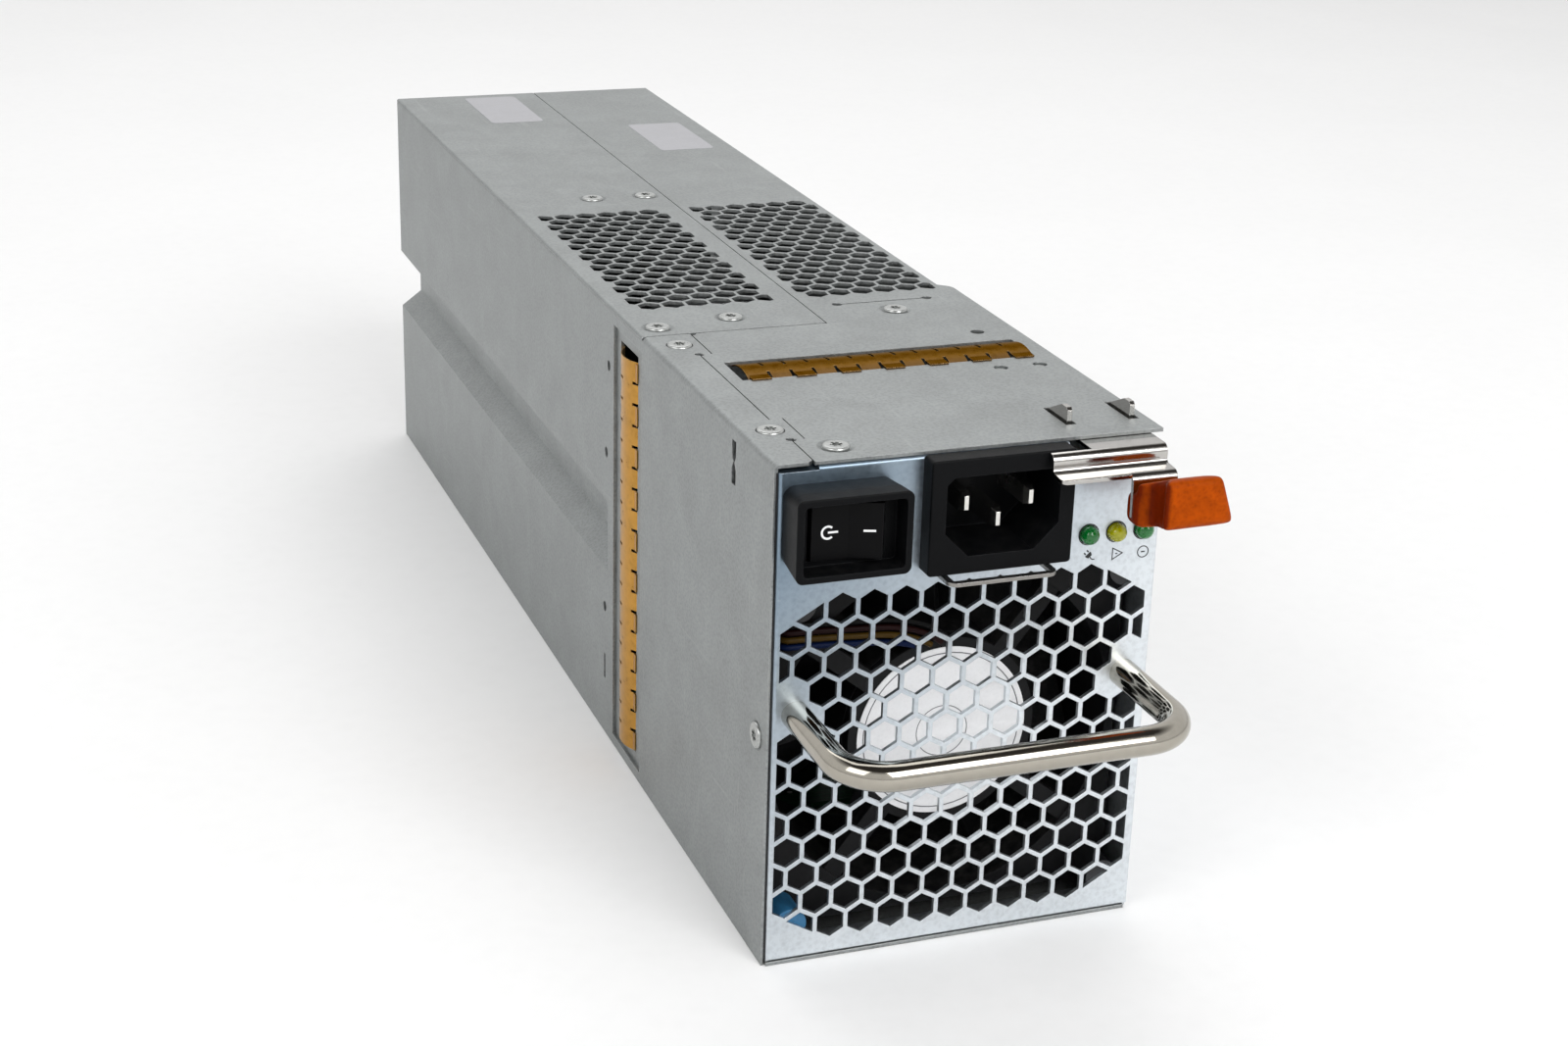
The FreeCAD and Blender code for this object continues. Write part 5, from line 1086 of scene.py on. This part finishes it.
class PSU_OT_output_connector(bpy.types.Operator):
    """Rear output connector and its gold-flashed contacts"""
    bl_idname = "psu.output_connector"
    bl_label = "Output connector"

    def execute(self, context):
        dress(black_plastic(), "output_connector")
        gold = surface("gold-flashed contacts", (0.80, 0.58, 0.24), 0.2, metallic=1.0, size=0.6, cloud=4.0,
                       contrast=0.1, bump=0.03, scratches=0.15, worn=(0.9, 0.72, 0.4), edge=0.12)
        dress(gold, "output_contacts")
        return {"FINISHED"}


class PSU_OT_mains_wires(bpy.types.Operator):
    """Live, neutral and earth wires between the inlet, the switch and the board"""
    bl_idname = "psu.mains_wires"
    bl_label = "Mains wires"

    def execute(self, context):
        green, yellow = (0.03, 0.25, 0.04), (0.72, 0.62, 0.03)

        def striped(tree):
            """A yellow stripe along green insulation."""
            bands = add_node(tree, "TexWave", {"Vector": place(tree), "Scale": 0.18, "Distortion": 0.0},
                             bands_direction="DIAGONAL")
            return mixed(tree, ramped(tree, bands.outputs["Fac"], 0.45, 0.55), green, yellow)

        for name, colour, node, paint in (("brown", (0.16, 0.055, 0.02), "live_wire", None),
                                          ("blue", (0.02, 0.12, 0.42), "neutral_wire", None),
                                          ("striped", green, "earth_wire", striped)):
            dress(surface(f"{name} insulation", colour, 0.36, size=0.5, contrast=0.1, bump=0.08, edge=0,
                          paint=paint), node)
        return {"FINISHED"}


class PSU_OT_stage(bpy.types.Operator):
    """Pale floor, soft lights and the camera"""
    bl_idname = "psu.stage"
    bl_label = "Stage"

    def execute(self, context):
        self.floor(context)
        self.sky(context)
        self.lights(context)
        self.camera(context)
        return {"FINISHED"}

    def floor(self, context):
        """A wide pale disc just under the case."""
        work = bmesh.new()
        bmesh.ops.create_circle(work, cap_ends=True, segments=96, radius=6.0)
        mesh = bpy.data.meshes.new("floor")
        work.to_mesh(mesh)
        work.free()
        pale = surface("pale floor", context.scene.psu_stage.floor, 0.75, size=4.0, cloud=120.0,
                       contrast=0.015, bump=0.02, edge=0)
        mesh.materials.append(pale)
        floor = bpy.data.objects.new("floor", mesh)
        floor.location.z = CAD_BOX[0][2] - 0.05 * MM
        context.scene.collection.objects.link(floor)

    def sky(self, context):
        """Soft surroundings: a bright band above the horizon and a dark ceiling."""
        world = bpy.data.worlds.new("studio")
        world.use_nodes = True
        context.scene.world = world
        tree = world.node_tree
        up = along(tree, add_node(tree, "TexCoord").outputs["Generated"], "Z")
        wall = mixed(tree, ramped(tree, up, -0.05, 0.2), (0.74, 0.74, 0.74), (1.0, 1.0, 1.0))
        colour = mixed(tree, ramped(tree, up, 0.62, 0.85), wall, (0.06, 0.055, 0.05))
        shade = tree.nodes["Background"]
        tree.links.new(colour, shade.inputs["Color"])
        shade.inputs["Strength"].default_value = context.scene.psu_stage.sky

    def lights(self, context):
        """A key in front, a fill at the left and a wide one over the rear, all aimed at the case's front."""
        target = Vector((0, -0.05, 0.05))
        for name, place_at, size, share in (("key", (0.35, -1.5, 1.1), 1.0, 1.0),
                                            ("fill", (-1.3, -0.7, 1.1), 1.0, 0.45),
                                            ("top", (0.1, 0.7, 1.5), 1.4, 0.6)):
            light = bpy.data.lights.new(name, "AREA")
            light.size = size
            light.energy = context.scene.psu_stage.key * share
            holder = bpy.data.objects.new(name, light)
            holder.location = place_at
            holder.rotation_euler = (target - Vector(place_at)).to_track_quat("-Z", "Y").to_euler()
            context.scene.collection.objects.link(holder)

    def camera(self, context):
        """The camera at its fitted place, turned by azimuth, elevation and roll."""
        stage = context.scene.psu_stage
        a, e = stage.azimuth, stage.elevation
        back = Vector((math.sin(a) * math.cos(e), -math.cos(a) * math.cos(e), math.sin(e)))
        level = Vector((math.cos(a), math.sin(a), 0.0))
        upright = back.cross(level)
        c, s = math.cos(stage.roll), math.sin(stage.roll)
        turn = Matrix((c * level + s * upright, c * upright - s * level, back)).transposed()
        lens = bpy.data.cameras.new("camera")
        lens.lens = stage.lens
        lens.sensor_width = 36.0
        lens.clip_start = 0.01
        camera = bpy.data.objects.new("camera", lens)
        camera.matrix_world = Matrix.Translation(stage.camera) @ turn.to_4x4()
        context.scene.collection.objects.link(camera)
        context.scene.camera = camera
        context.scene.view_settings.view_transform = "Standard"


OPERATORS = (PSU_OT_case_sheets, PSU_OT_cover_patches, PSU_OT_fasteners, PSU_OT_gaskets, PSU_OT_handle,
             PSU_OT_latch, PSU_OT_switch, PSU_OT_inlet, PSU_OT_lights, PSU_OT_fan, PSU_OT_fan_leads,
             PSU_OT_boards, PSU_OT_capacitors, PSU_OT_windings, PSU_OT_transformers, PSU_OT_heatsinks,
             PSU_OT_air_guide, PSU_OT_output_connector, PSU_OT_mains_wires, PSU_OT_stage)
SETTINGS = {"psu_case": CaseSettings, "psu_fittings": FittingSettings, "psu_inside": InsideSettings,
            "psu_stage": StageSettings}


class PSU_PT_sidebar(bpy.types.Panel):
    """Settings and steps of the power supply"""
    bl_idname = "PSU_PT_sidebar"
    bl_label = "Power supply"
    bl_space_type = "VIEW_3D"
    bl_region_type = "UI"
    bl_category = "Power supply"

    def draw(self, context):
        for name, group in SETTINGS.items():
            box = self.layout.box()
            for prop in group.bl_rna.properties:
                if prop.identifier not in ("rna_type", "name"):
                    box.prop(getattr(context.scene, name), prop.identifier)
        for operator in OPERATORS:
            self.layout.operator(operator.bl_idname)


def register():
    for cls in (*SETTINGS.values(), *OPERATORS, PSU_PT_sidebar):
        bpy.utils.register_class(cls)
    for name, group in SETTINGS.items():
        setattr(bpy.types.Scene, name, bpy.props.PointerProperty(type=group))


def unregister():
    for name in SETTINGS:
        delattr(bpy.types.Scene, name)
    for cls in reversed((*SETTINGS.values(), *OPERATORS, PSU_PT_sidebar)):
        bpy.utils.unregister_class(cls)


def main():
    register()
    for operator in OPERATORS:
        step = operator.bl_idname.split(".")[1]
        getattr(bpy.ops.psu, step)()


if __name__ == "__main__":
    main()
